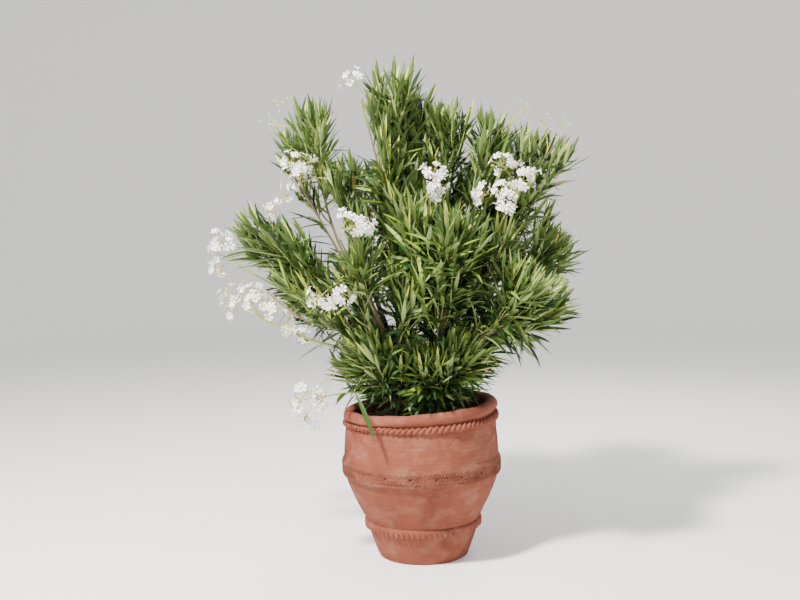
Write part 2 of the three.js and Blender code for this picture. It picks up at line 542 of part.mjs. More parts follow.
/** Grows one mass: its stem, twigs, leaves and blossom, all fused. */
class Mass {
  constructor(name, plan, limb, seed) {
    this.name = name;
    this.plan = plan;
    this.random = seeded(seed);
    this.tip = new THREE.Vector3(...plan.tip);
    const reachesBeyond = plan.ends === "leaves" ? LEAF_LENGTH * 0.82 : STALK_LENGTH;
    this.limb = limb;
    this.curve = shootCurve(limb.curve, plan.at, this.tip, reachesBeyond);
    this.radiusAt = taper(SHOOT_RADIUS);
    this.start = this.curve.getPointAt(0);
    this.stretches = stretches(this.curve, this.radiusAt, 4);
    this.solids = [];
    this.own = [];
  }

  settle(others, limbs) {
    const middles = others.map((other) => Space.middleOf(other.start, other.tip));
    this.space = new Space(this.start, this.tip, this.plan.spread, middles);
    this.obstacles = limbs;
  }

  jitter(size) {
    return (this.random() * 2 - 1) * size;
  }

  /** Marks a piece of this mass that its other pieces grow clear of. */
  keepClear(from, to, radius, curve = null) {
    this.own.push({ line: new THREE.Line3(from.clone().lerp(to, ROOT_SHARE), to), radius, curve });
  }

  /**
   * True when a straight piece stays in this mass's space, clear of limbs, jar and the
   * mass's own pieces, apart from the one that it grows from.
   */
  fits(from, to, halfWidth, root) {
    const line = new THREE.Line3(from, to);
    const here = new THREE.Vector3();
    for (const share of [0.25, 0.5, 0.75, 1]) {
      line.at(share, here);
      if (!this.space.holds(here) || !clearsJar(here)) return false;
    }
    const own = this.own.filter((piece) => piece.curve !== root);
    return [...this.obstacles, ...own].every(({ line: limb, radius }) => {
      const clear = radius + halfWidth + LIMB_MARGIN;
      return limb.distanceSqToLine3(line) > clear * clear;
    });
  }

  /** One leaf, turned and drawn in a little at each try until it fits, or left out. */
  addLeaf(curve, u, round, angle, size) {
    const origin = curve.getPointAt(u);
    const along = curve.getTangentAt(u);
    for (let attempt = 0; attempt < LEAF_TRIES; attempt++) {
      const out = angle * LEAF_TRY_ANGLE ** attempt;
      const direction = leaning(along, out, round + LEAF_TRY_TURN * attempt);
      const length = LEAF_LENGTH * size * LEAF_TRY_LENGTH ** attempt;
      const tip = origin.clone().addScaledVector(direction, length);
      const halfWidth = ((LEAF_WIDTH / 2) * length) / LEAF_LENGTH;
      const side = new THREE.Vector3().crossVectors(direction, along).normalize();
      const belly = origin.clone().lerp(tip, LEAF_WIDEST);
      const corners = [1, -1].map((sign) => belly.clone().addScaledVector(side, sign * halfWidth));
      const isInside = corners.every((corner) => this.space.holds(corner) && clearsJar(corner));
      const clearFrom = origin.clone().lerp(tip, ROOT_SHARE);
      if (!isInside || !this.fits(clearFrom, tip, halfWidth * LEAF_CLEAR, curve)) continue;
      this.solids.push(solidOf(leafGeometry({ root: origin, along: direction, facing: along, length })));
      this.keepClear(origin, tip, halfWidth * LEAF_CLEAR);
      return;
    }
  }

  /** Whorls of leaves along an axis, closing up towards its end. */
  addWhorls(curve, first, spacing) {
    const length = curve.getLength();
    const count = Math.round((length * (1 - first)) / spacing);
    const step = LEAF_STAGGER / length;
    for (let k = 0; k <= count; k++) {
      const share = count > 0 ? k / count : 1;
      const angle = mix(LEAF_ANGLE_LOW, LEAF_ANGLE_TIP, share);
      for (let leaf = 0; leaf < WHORL; leaf++) {
        const u = mix(first, 1 - step, share) - step * leaf;
        const size = mix(...LEAF_SIZE, this.random());
        const round = 60 + (360 / WHORL) * leaf + this.jitter(14);
        this.addLeaf(curve, u, round, angle + this.jitter(8), size);
      }
    }
  }

  /** A head of stalks, each with a flower or a bud. */
  addHead(curve, open, count) {
    const along = curve.getTangentAt(1);
    for (let k = 0; k < count; k++) {
      const base = curve.getPointAt(0.99 - (STALK_STAGGER * k) / curve.getLength());
      const out = k === 0 ? HEAD_CENTRE_ANGLE : mix(...HEAD_ANGLE, this.random());
      const direction = leaning(along, out, k * GOLDEN_ANGLE);
      const length = STALK_LENGTH * mix(...STALK_SIZE, this.random());
      const end = base.clone().addScaledVector(direction, length);
      const halfWidth = open ? FLOWER_RADIUS * 0.55 : BUD_RADIUS;
      const outer = base.clone().lerp(end, 0.7);
      if (!this.fits(outer, end, halfWidth, curve)) continue;
      const shape = open ? flowerGeometry : budGeometry;
      this.solids.push(solidOf(shape(base, direction, along, length)));
      this.keepClear(outer, end, halfWidth);
    }
  }

  /** Side twigs at the golden angle, each cut shorter until it fits, or left out. */
  addTwigs() {
    const length = this.curve.getLength();
    const count = Math.max(TWIGS_AT_LEAST, Math.round(length * this.plan.spread * TWIG_PER_AREA));
    const turn = this.random() * 360;
    const twigs = [];
    for (let k = 0; k < count; k++) {
      const u = mix(TWIG_FROM, TWIG_TO, (k + 0.5) / count);
      const start = this.curve.getPointAt(u);
      const along = this.curve.getTangentAt(u);
      const direction = leaning(along, TWIG_ANGLE + this.jitter(8), turn + k * GOLDEN_ANGLE);
      const reach = this.plan.spread * mix(...TWIG_TAPER, u) * (TWIG_REACH + this.jitter(TWIG_REACH_VARIES));
      const clearFrom = start.clone().addScaledVector(direction, TWIG_ROOT);
      const share = SHORTENINGS.find((shorter) => {
        const end = start.clone().addScaledVector(direction, reach * shorter);
        return this.fits(clearFrom, end, TWIG_RADIUS[0], this.curve);
      });
      if (share === undefined) continue;
      const end = start.clone().addScaledVector(direction, reach * share);
      const twig = new THREE.LineCurve3(start, end);
      this.solids.push(solidOf(limbGeometry(twig, taper(TWIG_RADIUS), TWIG_SIDES, 1)));
      this.keepClear(start, end, TWIG_RADIUS[0], twig);
      twigs.push(twig);
    }
    return twigs;
  }

  grow() {
    this.solids.push(solidOf(limbGeometry(this.curve, this.radiusAt, TWIG_SIDES, LIMB_STEPS)));
    for (const { line, radius } of this.stretches) this.own.push({ line, radius, curve: this.curve });
    const twigs = this.addTwigs();
    if (this.plan.ends === "blossom") this.addHead(this.curve, true, HEAD_COUNT);
    if (this.plan.ends === "buds") this.addHead(this.curve, false, HEAD_COUNT);
    this.addWhorls(this.curve, WHORL_FIRST, WHORL_SPACING);
    for (const twig of twigs) this.addWhorls(twig, TWIG_BARE, WHORL_SPACING);
    const joined = wasm.Manifold.union(this.solids);
    return mainBody(this.plan.at === undefined ? joined : joined.subtract(this.limb.grown));
  }
}

function makeMasses(limbs) {
  const masses = Object.entries(MASSES).map(
    ([name, plan], index) => new Mass(name, plan, limbs[plan.on], FIRST_SEED + SEED_STEP * index),
  );
  const wood = Object.values(limbs).flatMap(({ curve, radiusAt }) => stretches(curve, radiusAt, 6));
  for (const mass of masses) {
    const others = masses.filter((other) => other !== mass);
    mass.settle(others, [...wood, ...others.flatMap((other) => other.stretches)]);
  }
  return masses;
}

// The whole plant in its jar

const plant = new THREE.Group();
plant.add(meshOf("jar", makeJar(), TERRACOTTA));
plant.add(meshOf("soil", makeSoil(), EARTH));

const canes = makeCanes();
const boughs = makeBoughs(canes);
const shrub = new THREE.Group();
const limbs = { ...canes, ...boughs };
for (const [name, limb] of Object.entries(limbs)) shrub.add(meshOf(name, limb.solid, WOOD));
for (const mass of makeMasses(limbs)) {
  const material = mass.name.startsWith("blossom") ? BLOSSOM : LEAF;
  shrub.add(meshOf(mass.name, mass.grow(), material));
}
plant.add(shrub);

export default plant;
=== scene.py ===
"""Potted oleander: the looks of its jar, soil, bark, leaves and blossom, and a plain studio."""

import logging
import math
from collections.abc import Callable, Iterable
from dataclasses import dataclass, field
from enum import Enum
from typing import NamedTuple

import bmesh
import bpy
import numpy as np
from mathutils import Matrix, Vector


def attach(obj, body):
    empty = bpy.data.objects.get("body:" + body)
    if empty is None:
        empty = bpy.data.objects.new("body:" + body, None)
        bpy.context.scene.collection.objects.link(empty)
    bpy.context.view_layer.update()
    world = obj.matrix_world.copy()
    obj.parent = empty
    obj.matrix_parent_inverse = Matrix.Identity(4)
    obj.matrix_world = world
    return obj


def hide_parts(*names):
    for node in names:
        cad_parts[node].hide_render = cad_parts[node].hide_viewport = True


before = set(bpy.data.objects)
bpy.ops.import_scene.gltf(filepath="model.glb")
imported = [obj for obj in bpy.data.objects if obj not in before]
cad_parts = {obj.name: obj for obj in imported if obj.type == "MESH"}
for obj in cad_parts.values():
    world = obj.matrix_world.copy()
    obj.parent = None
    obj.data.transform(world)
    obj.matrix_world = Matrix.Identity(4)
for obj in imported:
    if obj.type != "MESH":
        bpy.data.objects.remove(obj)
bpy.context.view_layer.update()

log = logging.getLogger("oleander")

Array = np.ndarray
Colour = tuple[float, float, float]
Socket = bpy.types.NodeSocket

MM = 0.001
TURN = 2 * math.pi
GOLDEN_ANGLE = 137.5
UP = np.array([0.0, 0.0, 1.0])

# Canes: foot on the soil, and tip where the cane enters the leaves that it carries.
CANES = {
    "cane_centre": ((-28, 8), (-60, 20, 1310)),
    "cane_upright": ((34, 22), (95, 50, 1245)),
    "cane_left": ((-104, -8), (-290, -15, 1215)),
    "cane_right": ((106, 4), (335, 40, 1210)),
    "cane_front_left": ((-58, -92), (-190, -235, 1055)),
    "cane_front_right": ((58, -96), (110, -250, 1065)),
    "cane_back_left": ((-66, 96), (-210, 270, 1120)),
    "cane_back_right": ((62, 100), (215, 275, 1100)),
}

# Boughs: the cane that each leaves, how far up it, and the tip.
BOUGHS = {
    "bough_top_left": ("cane_centre", 0.84, (-105, -45, 1420)),
    "bough_top_back": ("cane_centre", 0.66, (-25, 150, 1340)),
    "bough_upper_right": ("cane_upright", 0.72, (210, 0, 1310)),
    "bough_centre": ("cane_upright", 0.5, (40, -130, 1120)),
    "bough_blossom_right": ("cane_right", 0.66, (310, -95, 1185)),
    "bough_right": ("cane_right", 0.52, (375, 45, 1040)),
    "bough_right_low": ("cane_right", 0.36, (340, -50, 885)),
    "bough_left": ("cane_left", 0.58, (-405, -30, 1105)),
    "bough_left_low": ("cane_left", 0.4, (-375, -130, 945)),
    "bough_blossom_left": ("cane_left", 0.48, (-435, 100, 1030)),
    "bough_blossom_low": ("cane_left", 0.27, (-340, -50, 855)),
    "bough_blossom_foot": ("cane_front_left", 0.12, (-230, -95, 675)),
    "bough_front_right": ("cane_front_right", 0.46, (245, -225, 900)),
    "bough_back_left_low": ("cane_back_left", 0.4, (-315, 230, 915)),
    "bough_back": ("cane_back_right", 0.6, (30, 300, 1035)),
    "bough_back_right_low": ("cane_back_right", 0.4, (335, 230, 875)),
}


class Ends(Enum):
    """What the furthest shoots of a mass end in."""

    LEAVES = "leaves"
    BLOSSOM = "blossom"
    BUDS = "buds"


# Masses: the limb that carries each, how far up it leaves (None: it goes on from the tip), its
# furthest tip, how wide it spreads and what it ends in. The order gives each mass its seed.
MASSES = {
    "leaves_top": ("cane_centre", None, (-55, 10, 2000), 160, Ends.LEAVES),
    "leaves_top_left": ("bough_top_left", None, (-215, -95, 1870), 130, Ends.LEAVES),
    "leaves_top_back": ("bough_top_back", None, (15, 250, 1920), 180, Ends.LEAVES),
    "leaves_top_right": ("cane_upright", None, (135, 50, 1850), 150, Ends.LEAVES),
    "leaves_upper_right": ("bough_upper_right", None, (330, 60, 1795), 160, Ends.LEAVES),
    "leaves_upper_left": ("cane_left", None, (-430, 0, 1845), 190, Ends.BUDS),
    "leaves_right_high": ("cane_right", None, (585, -10, 1710), 180, Ends.BUDS),
    "blossom_right": ("bough_blossom_right", None, (425, -190, 1530), 150, Ends.BLOSSOM),
    "leaves_right": ("bough_right", None, (635, 40, 1300), 165, Ends.LEAVES),
    "leaves_right_low": ("bough_right_low", None, (615, -100, 1075), 150, Ends.LEAVES),
    "leaves_right_foot": ("cane_right", 0.14, (380, 0, 935), 140, Ends.LEAVES),
    "leaves_left_high": ("cane_left", 0.74, (-560, -110, 1690), 165, Ends.BLOSSOM),
    "leaves_left": ("bough_left", None, (-755, -60, 1360), 170, Ends.LEAVES),
    "leaves_left_low": ("bough_left_low", None, (-700, -170, 1165), 165, Ends.LEAVES),
    "blossom_left": ("bough_blossom_left", None, (-845, 80, 1245), 130, Ends.BLOSSOM),
    "blossom_left_low": ("bough_blossom_low", None, (-740, -40, 1020), 135, Ends.BLOSSOM),
    "leaves_centre": ("bough_centre", None, (65, -270, 1560), 190, Ends.BLOSSOM),
    "leaves_front_left": ("cane_front_left", None, (-335, -350, 1385), 185, Ends.BLOSSOM),
    "leaves_front": ("cane_front_right", None, (125, -430, 1395), 185, Ends.LEAVES),
    "leaves_front_right": ("bough_front_right", None, (435, -330, 1190), 170, Ends.LEAVES),
    "leaves_middle": ("cane_centre", 0.3, (-95, -150, 1190), 190, Ends.LEAVES),
    "leaves_middle_left": ("cane_left", 0.14, (-270, 95, 1030), 160, Ends.LEAVES),
    "leaves_middle_right": ("cane_upright", 0.26, (205, -90, 1100), 190, Ends.LEAVES),
    "leaves_middle_front": ("cane_front_left", 0.36, (-50, -350, 1115), 180, Ends.LEAVES),
    "leaves_low_left": ("cane_front_left", 0.22, (-295, -230, 890), 160, Ends.LEAVES),
    "leaves_low_front": ("cane_front_right", 0.1, (-15, -310, 855), 150, Ends.LEAVES),
    "leaves_low_right": ("cane_front_right", 0.2, (255, -275, 880), 150, Ends.LEAVES),
    "blossom_foot": ("bough_blossom_foot", None, (-485, -150, 660), 95, Ends.BLOSSOM),
    "leaves_back_left": ("cane_back_left", None, (-335, 420, 1665), 190, Ends.LEAVES),
    "leaves_back_left_low": ("bough_back_left_low", None, (-560, 330, 1170), 165, Ends.BLOSSOM),
    "leaves_back_right": ("cane_back_right", None, (375, 430, 1610), 190, Ends.LEAVES),
    "leaves_back": ("bough_back", None, (5, 530, 1460), 185, Ends.BLOSSOM),
    "leaves_back_right_low": ("bough_back_right_low", None, (525, 330, 1100), 165, Ends.LEAVES),
    "leaves_low_back": ("cane_back_left", 0.16, (-205, 370, 890), 155, Ends.LEAVES),
}

FIRST_SEED, SEED_STEP = 101, 37

SOIL_TOP = 545.0

# Bark radii at the foot and at the tip, and how much a cane widens at the soil.
CANE_RADII = (17.0, 8.0)
BOUGH_RADII = (8.5, 5.5)
STEM_RADII = (6.0, 3.4)
CANE_FLARE = 0.55

# Heads of blossom and of buds that show from the front: the mass that bears each, and its middle.
HEADS = {
    "leaves_top_left": [(-240, -100, 1905)],
    "leaves_upper_left": [(-580, 0, 1775), (-515, 10, 1840), (-545, -30, 1740)],
    "leaves_right_high": [
        (400, 0, 1770), (440, -20, 1785), (510, 10, 1740), (590, -20, 1720), (535, -40, 1695),
    ],
    "blossom_right": [
        (325, -200, 1555), (310, -230, 1445), (400, -210, 1490), (345, -220, 1380), (235, -200, 1430),
        (360, -260, 1435), (430, -190, 1535),
    ],
    "leaves_left_high": [
        (-485, -100, 1600), (-455, -120, 1545), (-485, -90, 1500), (-420, -130, 1585), (-525, -80, 1440),
        (-580, -60, 1395),
    ],
    "blossom_left": [(-825, 70, 1305), (-822, 50, 1240), (-820, 80, 1170), (-765, 30, 1290)],
    "blossom_left_low": [
        (-765, -20, 1075), (-745, -50, 1020), (-665, -40, 1100), (-665, -70, 1055), (-600, -60, 1055),
        (-545, -80, 1010), (-505, -90, 945), (-470, -100, 905),
    ],
    "leaves_centre": [(65, -300, 1520), (90, -310, 1480), (55, -320, 1450)],
    "leaves_front_left": [
        (-250, -360, 1355), (-210, -370, 1335), (-175, -380, 1320), (-385, -300, 1055),
        (-340, -330, 1035), (-295, -350, 1070),
    ],
    "blossom_foot": [
        (-470, -150, 695), (-420, -130, 685), (-495, -160, 645), (-395, -170, 640), (-460, -180, 590),
        (-420, -160, 560),
    ],
}

# Gaps through which the photo shows what is behind the crown: x, height and radius of each.
SKY = [
    (-265, 1815, 45), (-243, 1752, 50), (-210, 1685, 46), (-172, 1625, 36), (-331, 1365, 46),
    (-309, 1280, 42), (-152, 1019, 36), (-121, 957, 32),
]


# Numbers, curves and unevenness


def mix(a: float, b: float, share: float) -> float:
    """Returns the linear blend from a to b."""
    return a + (b - a) * share


def unit(vector: Array) -> Array:
    """Returns the vector, or each of the vectors, at length one."""
    return vector / np.linalg.norm(vector, axis=-1, keepdims=True)


def dot(a: Array, b: Array) -> Array:
    """Returns the dot products of matching rows, one number to a row."""
    return (a * b).sum(-1, keepdims=True)


def polar(points: Array) -> tuple[Array, Array]:
    """Returns how far each point is from the Z axis, and its turn round it."""
    return np.hypot(points[:, 0], points[:, 1]), np.arctan2(points[:, 1], points[:, 0])


def pushed(points: Array, out: Array, up: Array | float = 0.0) -> Array:
    """Returns points moved away from the Z axis and up, each by its own distance in millimetres."""
    scale = 1 + out / np.maximum(polar(points)[0], 1)
    return np.stack([points[:, 0] * scale, points[:, 1] * scale, points[:, 2] + up], -1)


def waved(turn: Array, *waves: tuple[float, int, float]) -> Array:
    """Returns the sum of waves round the Z axis, each given as its height, number and phase."""
    return sum(height * np.sin(number * turn + phase) for height, number, phase in waves)


class Seeded:
    """A seeded source of numbers, the same one that the solids grow by."""

    def __init__(self, seed: int) -> None:
        """Starts the source from a seed."""
        self.state = seed

    def share(self) -> float:
        """Returns the next number from 0 to 1."""
        self.state = (self.state * 48271) % 2147483647
        return self.state / 2147483647

    def jitter(self, size: float) -> float:
        """Returns a number between -size and size."""
        return (self.share() * 2 - 1) * size

    def between(self, low: float, high: float) -> float:
        """Returns a number between low and high."""
        return mix(low, high, self.share())


class Ripples:
    """Smooth seeded unevenness of space, a sum of waves that run in all directions."""

    def __init__(self, seed: int, wavelength: float, stretch: tuple = (1, 1, 1), waves: int = 20) -> None:
        """Draws the waves.

        Args:
            seed: Where the draw starts.
            wavelength: The middle wavelength, in the unit of the points.
            stretch: How much longer the waves are along x, y and z.
            waves: How many waves are summed.
        """
        rng = np.random.default_rng(seed)
        directions = unit(rng.normal(size=(waves, 3)))
        rates = TURN / wavelength * rng.uniform(0.6, 1.7, (waves, 1))
        self.rates = directions * rates / np.array(stretch)
        self.phases = rng.uniform(0, TURN, waves)

    def at(self, points: Array) -> Array:
        """Returns the height of the waves at each point, mostly from -1 to 1."""
        return np.cos(points @ self.rates.T + self.phases).sum(-1) / math.sqrt(len(self.phases))


class Curve:
    """A Bezier curve that is measured along its own length, in millimetres."""

    SAMPLES = 96

    def __init__(self, *control: Array) -> None:
        """Samples the curve of two, three or four control points.

        Args:
            control: The points.
        """
        t = np.linspace(0, 1, self.SAMPLES + 1)[:, None]
        level = [np.asarray(point, float)[None] * np.ones_like(t) for point in control]
        while len(level) > 1:
            level = [a + (b - a) * t for a, b in zip(level, level[1:])]
        self.samples = level[0]
        steps = np.linalg.norm(np.diff(self.samples, axis=0), axis=1)
        self.travel = np.concatenate([[0], np.cumsum(steps)])
        self.length = float(self.travel[-1])

    def points(self, shares: Array) -> Array:
        """Returns the points at shares of the length, one row each."""
        along = np.asarray(shares, float) * self.length
        return np.stack([np.interp(along, self.travel, self.samples[:, k]) for k in range(3)], -1)

    def tangents(self, shares: Array) -> Array:
        """Finds which way the curve goes.

        Args:
            shares: Shares of the length.

        Returns:
            The directions, one row each.
        """
        shares = np.asarray(shares, float)
        step = 0.012
        ahead = self.points(np.minimum(shares + step, 1))
        return unit(ahead - self.points(np.maximum(shares - step, 0)))

    def point(self, share: float) -> Array:
        """Returns the point at a share of the length."""
        return self.points([share])[0]

    def tangent(self, share: float) -> Array:
        """Returns the direction at a share of the length."""
        return self.tangents([share])[0]


def across_of(along: Array) -> tuple[Array, Array]:
    """Returns two directions across an axis, or across each of several."""
    side = unit(np.cross(np.array([0.31, 0.95, 0.05]), along))
    return side, np.cross(side, along)


def leaning(along: Array, degrees_out: float, degrees_round: float) -> Array:
    """Leans a direction away from an axis, turned round it.

    Args:
        along: The axis.
        degrees_out: The angle between the axis and the direction.
        degrees_round: The turn round the axis.

    Returns:
        The direction.
    """
    side, other = across_of(along)
    turn, out = math.radians(degrees_round), math.radians(degrees_out)
    across = side * math.sin(turn) + other * math.cos(turn)
    return unit(along * math.cos(out) + across * math.sin(out))


# Meshes


@dataclass
class Stencil:
    """A small closed shape that is repeated many times, as its faces' corners."""

    points: Array
    corners: Array
    starts: Array
    parts: Array

    @classmethod
    def of(cls, bm: bmesh.types.BMesh, part_of: Callable[[bmesh.types.BMFace], int]) -> "Stencil":
        """Reads a stencil from a bmesh and frees it.

        Args:
            bm: The shape.
            part_of: Gives the part of the shape that a face belongs to, which has its own colour.

        Returns:
            The stencil.
        """
        bm.verts.index_update()
        points = np.array([vert.co for vert in bm.verts])
        corners = [[vert.index for vert in face.verts] for face in bm.faces]
        sizes = [len(face) for face in corners]
        starts = np.concatenate([[0], np.cumsum(sizes)[:-1]])
        parts = np.array([part_of(face) for face in bm.faces])
        bm.free()
        return cls(points, np.array([c for face in corners for c in face]), starts, parts)


class Spindle:
    """A ball of few sides whose rings are moved into blades, twigs and stalks."""

    def __init__(self, sides: int, rings: int) -> None:
        """Makes the ball.

        Args:
            sides: Corners to a ring.
            rings: Rings between its two ends.
        """
        bm = bmesh.new()
        bmesh.ops.create_uvsphere(bm, u_segments=sides, v_segments=rings + 1, radius=1)
        bmesh.ops.recalc_face_normals(bm, faces=bm.faces)
        self.stencil = Stencil.of(bm, lambda face: int(face.calc_center_median().y < 0))
        height = np.clip(self.stencil.points[:, 2], -1, 1)
        self.ring = np.rint((math.pi - np.arccos(height)) / math.pi * (rings + 1)).astype(int)
        turn = np.arctan2(self.stencil.points[:, 1], self.stencil.points[:, 0])
        inner = (self.ring > 0) & (self.ring <= rings)
        self.x, self.y = np.cos(turn) * inner, np.sin(turn) * inner


class Heap:
    """Gathers copies of stencils into one mesh."""

    def __init__(self) -> None:
        """Starts an empty heap."""
        self.points: list[Array] = []
        self.corners: list[Array] = []
        self.starts: list[Array] = []
        self.colours: list[Array] = []
        self.size = 0
        self.filled = 0

    def add(self, stencil: Stencil, points: Array, colours: Array) -> None:
        """Adds copies of a stencil.

        Args:
            stencil: The shape.
            points: The copies' points in metres, as copies x points x 3.
            colours: The number of the colour of each part of each copy, as copies x parts.
        """
        copies, count = points.shape[:2]
        first = self.size + count * np.arange(copies)[:, None]
        self.corners.append((stencil.corners[None] + first).ravel())
        begin = self.filled + len(stencil.corners) * np.arange(copies)[:, None]
        self.starts.append((stencil.starts[None] + begin).ravel())
        self.colours.append(colours[:, stencil.parts].ravel())
        self.points.append(points.reshape(-1, 3))
        self.size += copies * count
        self.filled += copies * len(stencil.corners)

    def mesh(self, name: str, sharp_above: float = 50) -> bpy.types.Mesh:
        """Makes the mesh.

        Args:
            name: The mesh's name.
            sharp_above: The angle in degrees above which an edge isn't smoothed.

        Returns:
            The mesh, with its faces' colours as material numbers.
        """
        points, corners, starts = (np.concatenate(a) for a in (self.points, self.corners, self.starts))
        mesh = bpy.data.meshes.new(name)
        mesh.vertices.add(len(points))
        mesh.loops.add(len(corners))
        mesh.polygons.add(len(starts))
        mesh.vertices.foreach_set("co", points.astype(np.float32).ravel())
        mesh.loops.foreach_set("vertex_index", corners.astype(np.int32))
        mesh.polygons.foreach_set("loop_start", starts.astype(np.int32))
        mesh.polygons.foreach_set("material_index", np.concatenate(self.colours).astype(np.int32))
        mesh.update(calc_edges=True)
        mesh.validate()
        mesh.shade_smooth()
        mesh.set_sharp_from_angle(angle=math.radians(sharp_above))
        return mesh


def turned(outline: Iterable[tuple[float, float]], steps: int, is_ring: bool) -> bmesh.types.BMesh:
    """Turns an outline round the Z axis.

    Args:
        outline: Pairs of radius and height in millimetres.
        steps: Steps of the full turn, a multiple of 16.
        is_ring: True joins the last pair to the first, for a ring with a closed section.

    Returns:
        The closed shape.
    """
    bm = bmesh.new()
    verts = [bm.verts.new((radius * MM, 0, height * MM)) for radius, height in outline]
    follow = verts[1:] + verts[:1] if is_ring else verts[1:]
    edges = [bm.edges.new(pair) for pair in zip(verts, follow)]
    wedge = TURN / 16
    bmesh.ops.spin(
        bm, geom=[*verts, *edges], cent=(0, 0, 0), axis=(0, 0, 1), dvec=(0, 0, 0),
        angle=wedge, steps=steps // 16, use_merge=False, use_normal_flip=False, use_duplicate=False,
    )
    for share in (1, 2, 4, 8):
        copy = bmesh.ops.duplicate(bm, geom=[*bm.verts, *bm.edges, *bm.faces])["geom"]
        moving = [item for item in copy if isinstance(item, bmesh.types.BMVert)]
        bmesh.ops.rotate(bm, cent=(0, 0, 0), matrix=Matrix.Rotation(wedge * share, 3, "Z"), verts=moving)
    bmesh.ops.remove_doubles(bm, verts=bm.verts, dist=1e-5)
    bmesh.ops.recalc_face_normals(bm, faces=bm.faces)
    return bm


def mesh_of(bm: bmesh.types.BMesh, name: str, sharp_above: float = 40) -> bpy.types.Mesh:
    """Turns a bmesh into a smoothly shaded mesh and frees it.

    Args:
        bm: The shape.
        name: The mesh's name.
        sharp_above: The angle in degrees above which an edge isn't smoothed.

    Returns:
        The mesh.
    """
    mesh = bpy.data.meshes.new(name)
    bm.to_mesh(mesh)
    bm.free()
    mesh.shade_smooth()
    mesh.set_sharp_from_angle(angle=math.radians(sharp_above))
    return mesh


def moved(mesh: bpy.types.Mesh, move: Callable[[Array], Array]) -> bpy.types.Mesh:
    """Moves a mesh's points.

    Args:
        mesh: The mesh.
        move: Takes the points in millimetres, one row each, and returns them moved.

    Returns:
        The same mesh.
    """
    flat = np.zeros(len(mesh.vertices) * 3, np.float32)
    mesh.vertices.foreach_get("co", flat)
    points = move(flat.reshape(-1, 3).astype(float) / MM) * MM
    mesh.vertices.foreach_set("co", points.astype(np.float32).ravel())
    mesh.update()
    return mesh


def smooth_outline(pairs: list[tuple[float, float]], step: float) -> list[tuple[float, float]]:
    """Draws a smooth line through pairs of radius and height.

    Args:
        pairs: The pairs in millimetres.
        step: About how far apart the points of the line are.

    Returns:
        The points of the line, both ends among them.
    """
    rows = [np.array(pair, float) for pair in pairs]
    ends = [2 * rows[0] - rows[1], *rows, 2 * rows[-1] - rows[-2]]
    line = []
    for before, a, b, after in zip(ends, ends[1:], ends[2:], ends[3:]):
        count = max(1, round(np.linalg.norm(b - a) / step))
        for t in np.arange(count) / count:
            line.append(0.5 * (
                2 * a + (b - before) * t + (2 * before - 5 * a + 4 * b - after) * t**2
                + (3 * a - before - 3 * b + after) * t**3
            ))
    return [tuple(point) for point in [*line, rows[-1]]]


def put(name: str, data: bpy.types.ID) -> bpy.types.Object:
    """Puts a mesh, light or camera in the scene.

    Args:
        name: The object's name.
        data: The mesh, light or camera.

    Returns:
        Its object.
    """
    made = bpy.data.objects.new(name, data)
    bpy.context.scene.collection.objects.link(made)
    return made


def show(mesh: bpy.types.Mesh, finishes: list[bpy.types.Material],
         stands_for: Iterable[str]) -> None:
    """Puts a finished mesh in the scene as a piece of the plant.

    Args:
        mesh: The mesh, which gives the piece its name.
        finishes: The materials, in the order of the faces' numbers.
        stands_for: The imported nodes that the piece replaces.
    """
    for finish in finishes:
        mesh.materials.append(finish)
    piece = put(mesh.name, mesh)
    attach(piece, "root")
    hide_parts(*stands_for)
    triangles = len(mesh.loops) - 2 * len(mesh.polygons)
    log.info("%s: %d triangles", piece.name, triangles)


# Finishes


def linear(red: int, green: int, blue: int) -> tuple[float, float, float, float]:
    """Turns a screen colour into the linear one that a shader takes.

    Args:
        red: The red channel, from 0 to 255.
        green: The green one.
        blue: The blue one.

    Returns:
        The linear colour, fully opaque.
    """
    def one(value: int) -> float:
        """Returns one channel."""
        share = value / 255
        return share / 12.92 if share <= 0.04045 else ((share + 0.055) / 1.055) ** 2.4
    return one(red), one(green), one(blue), 1.0


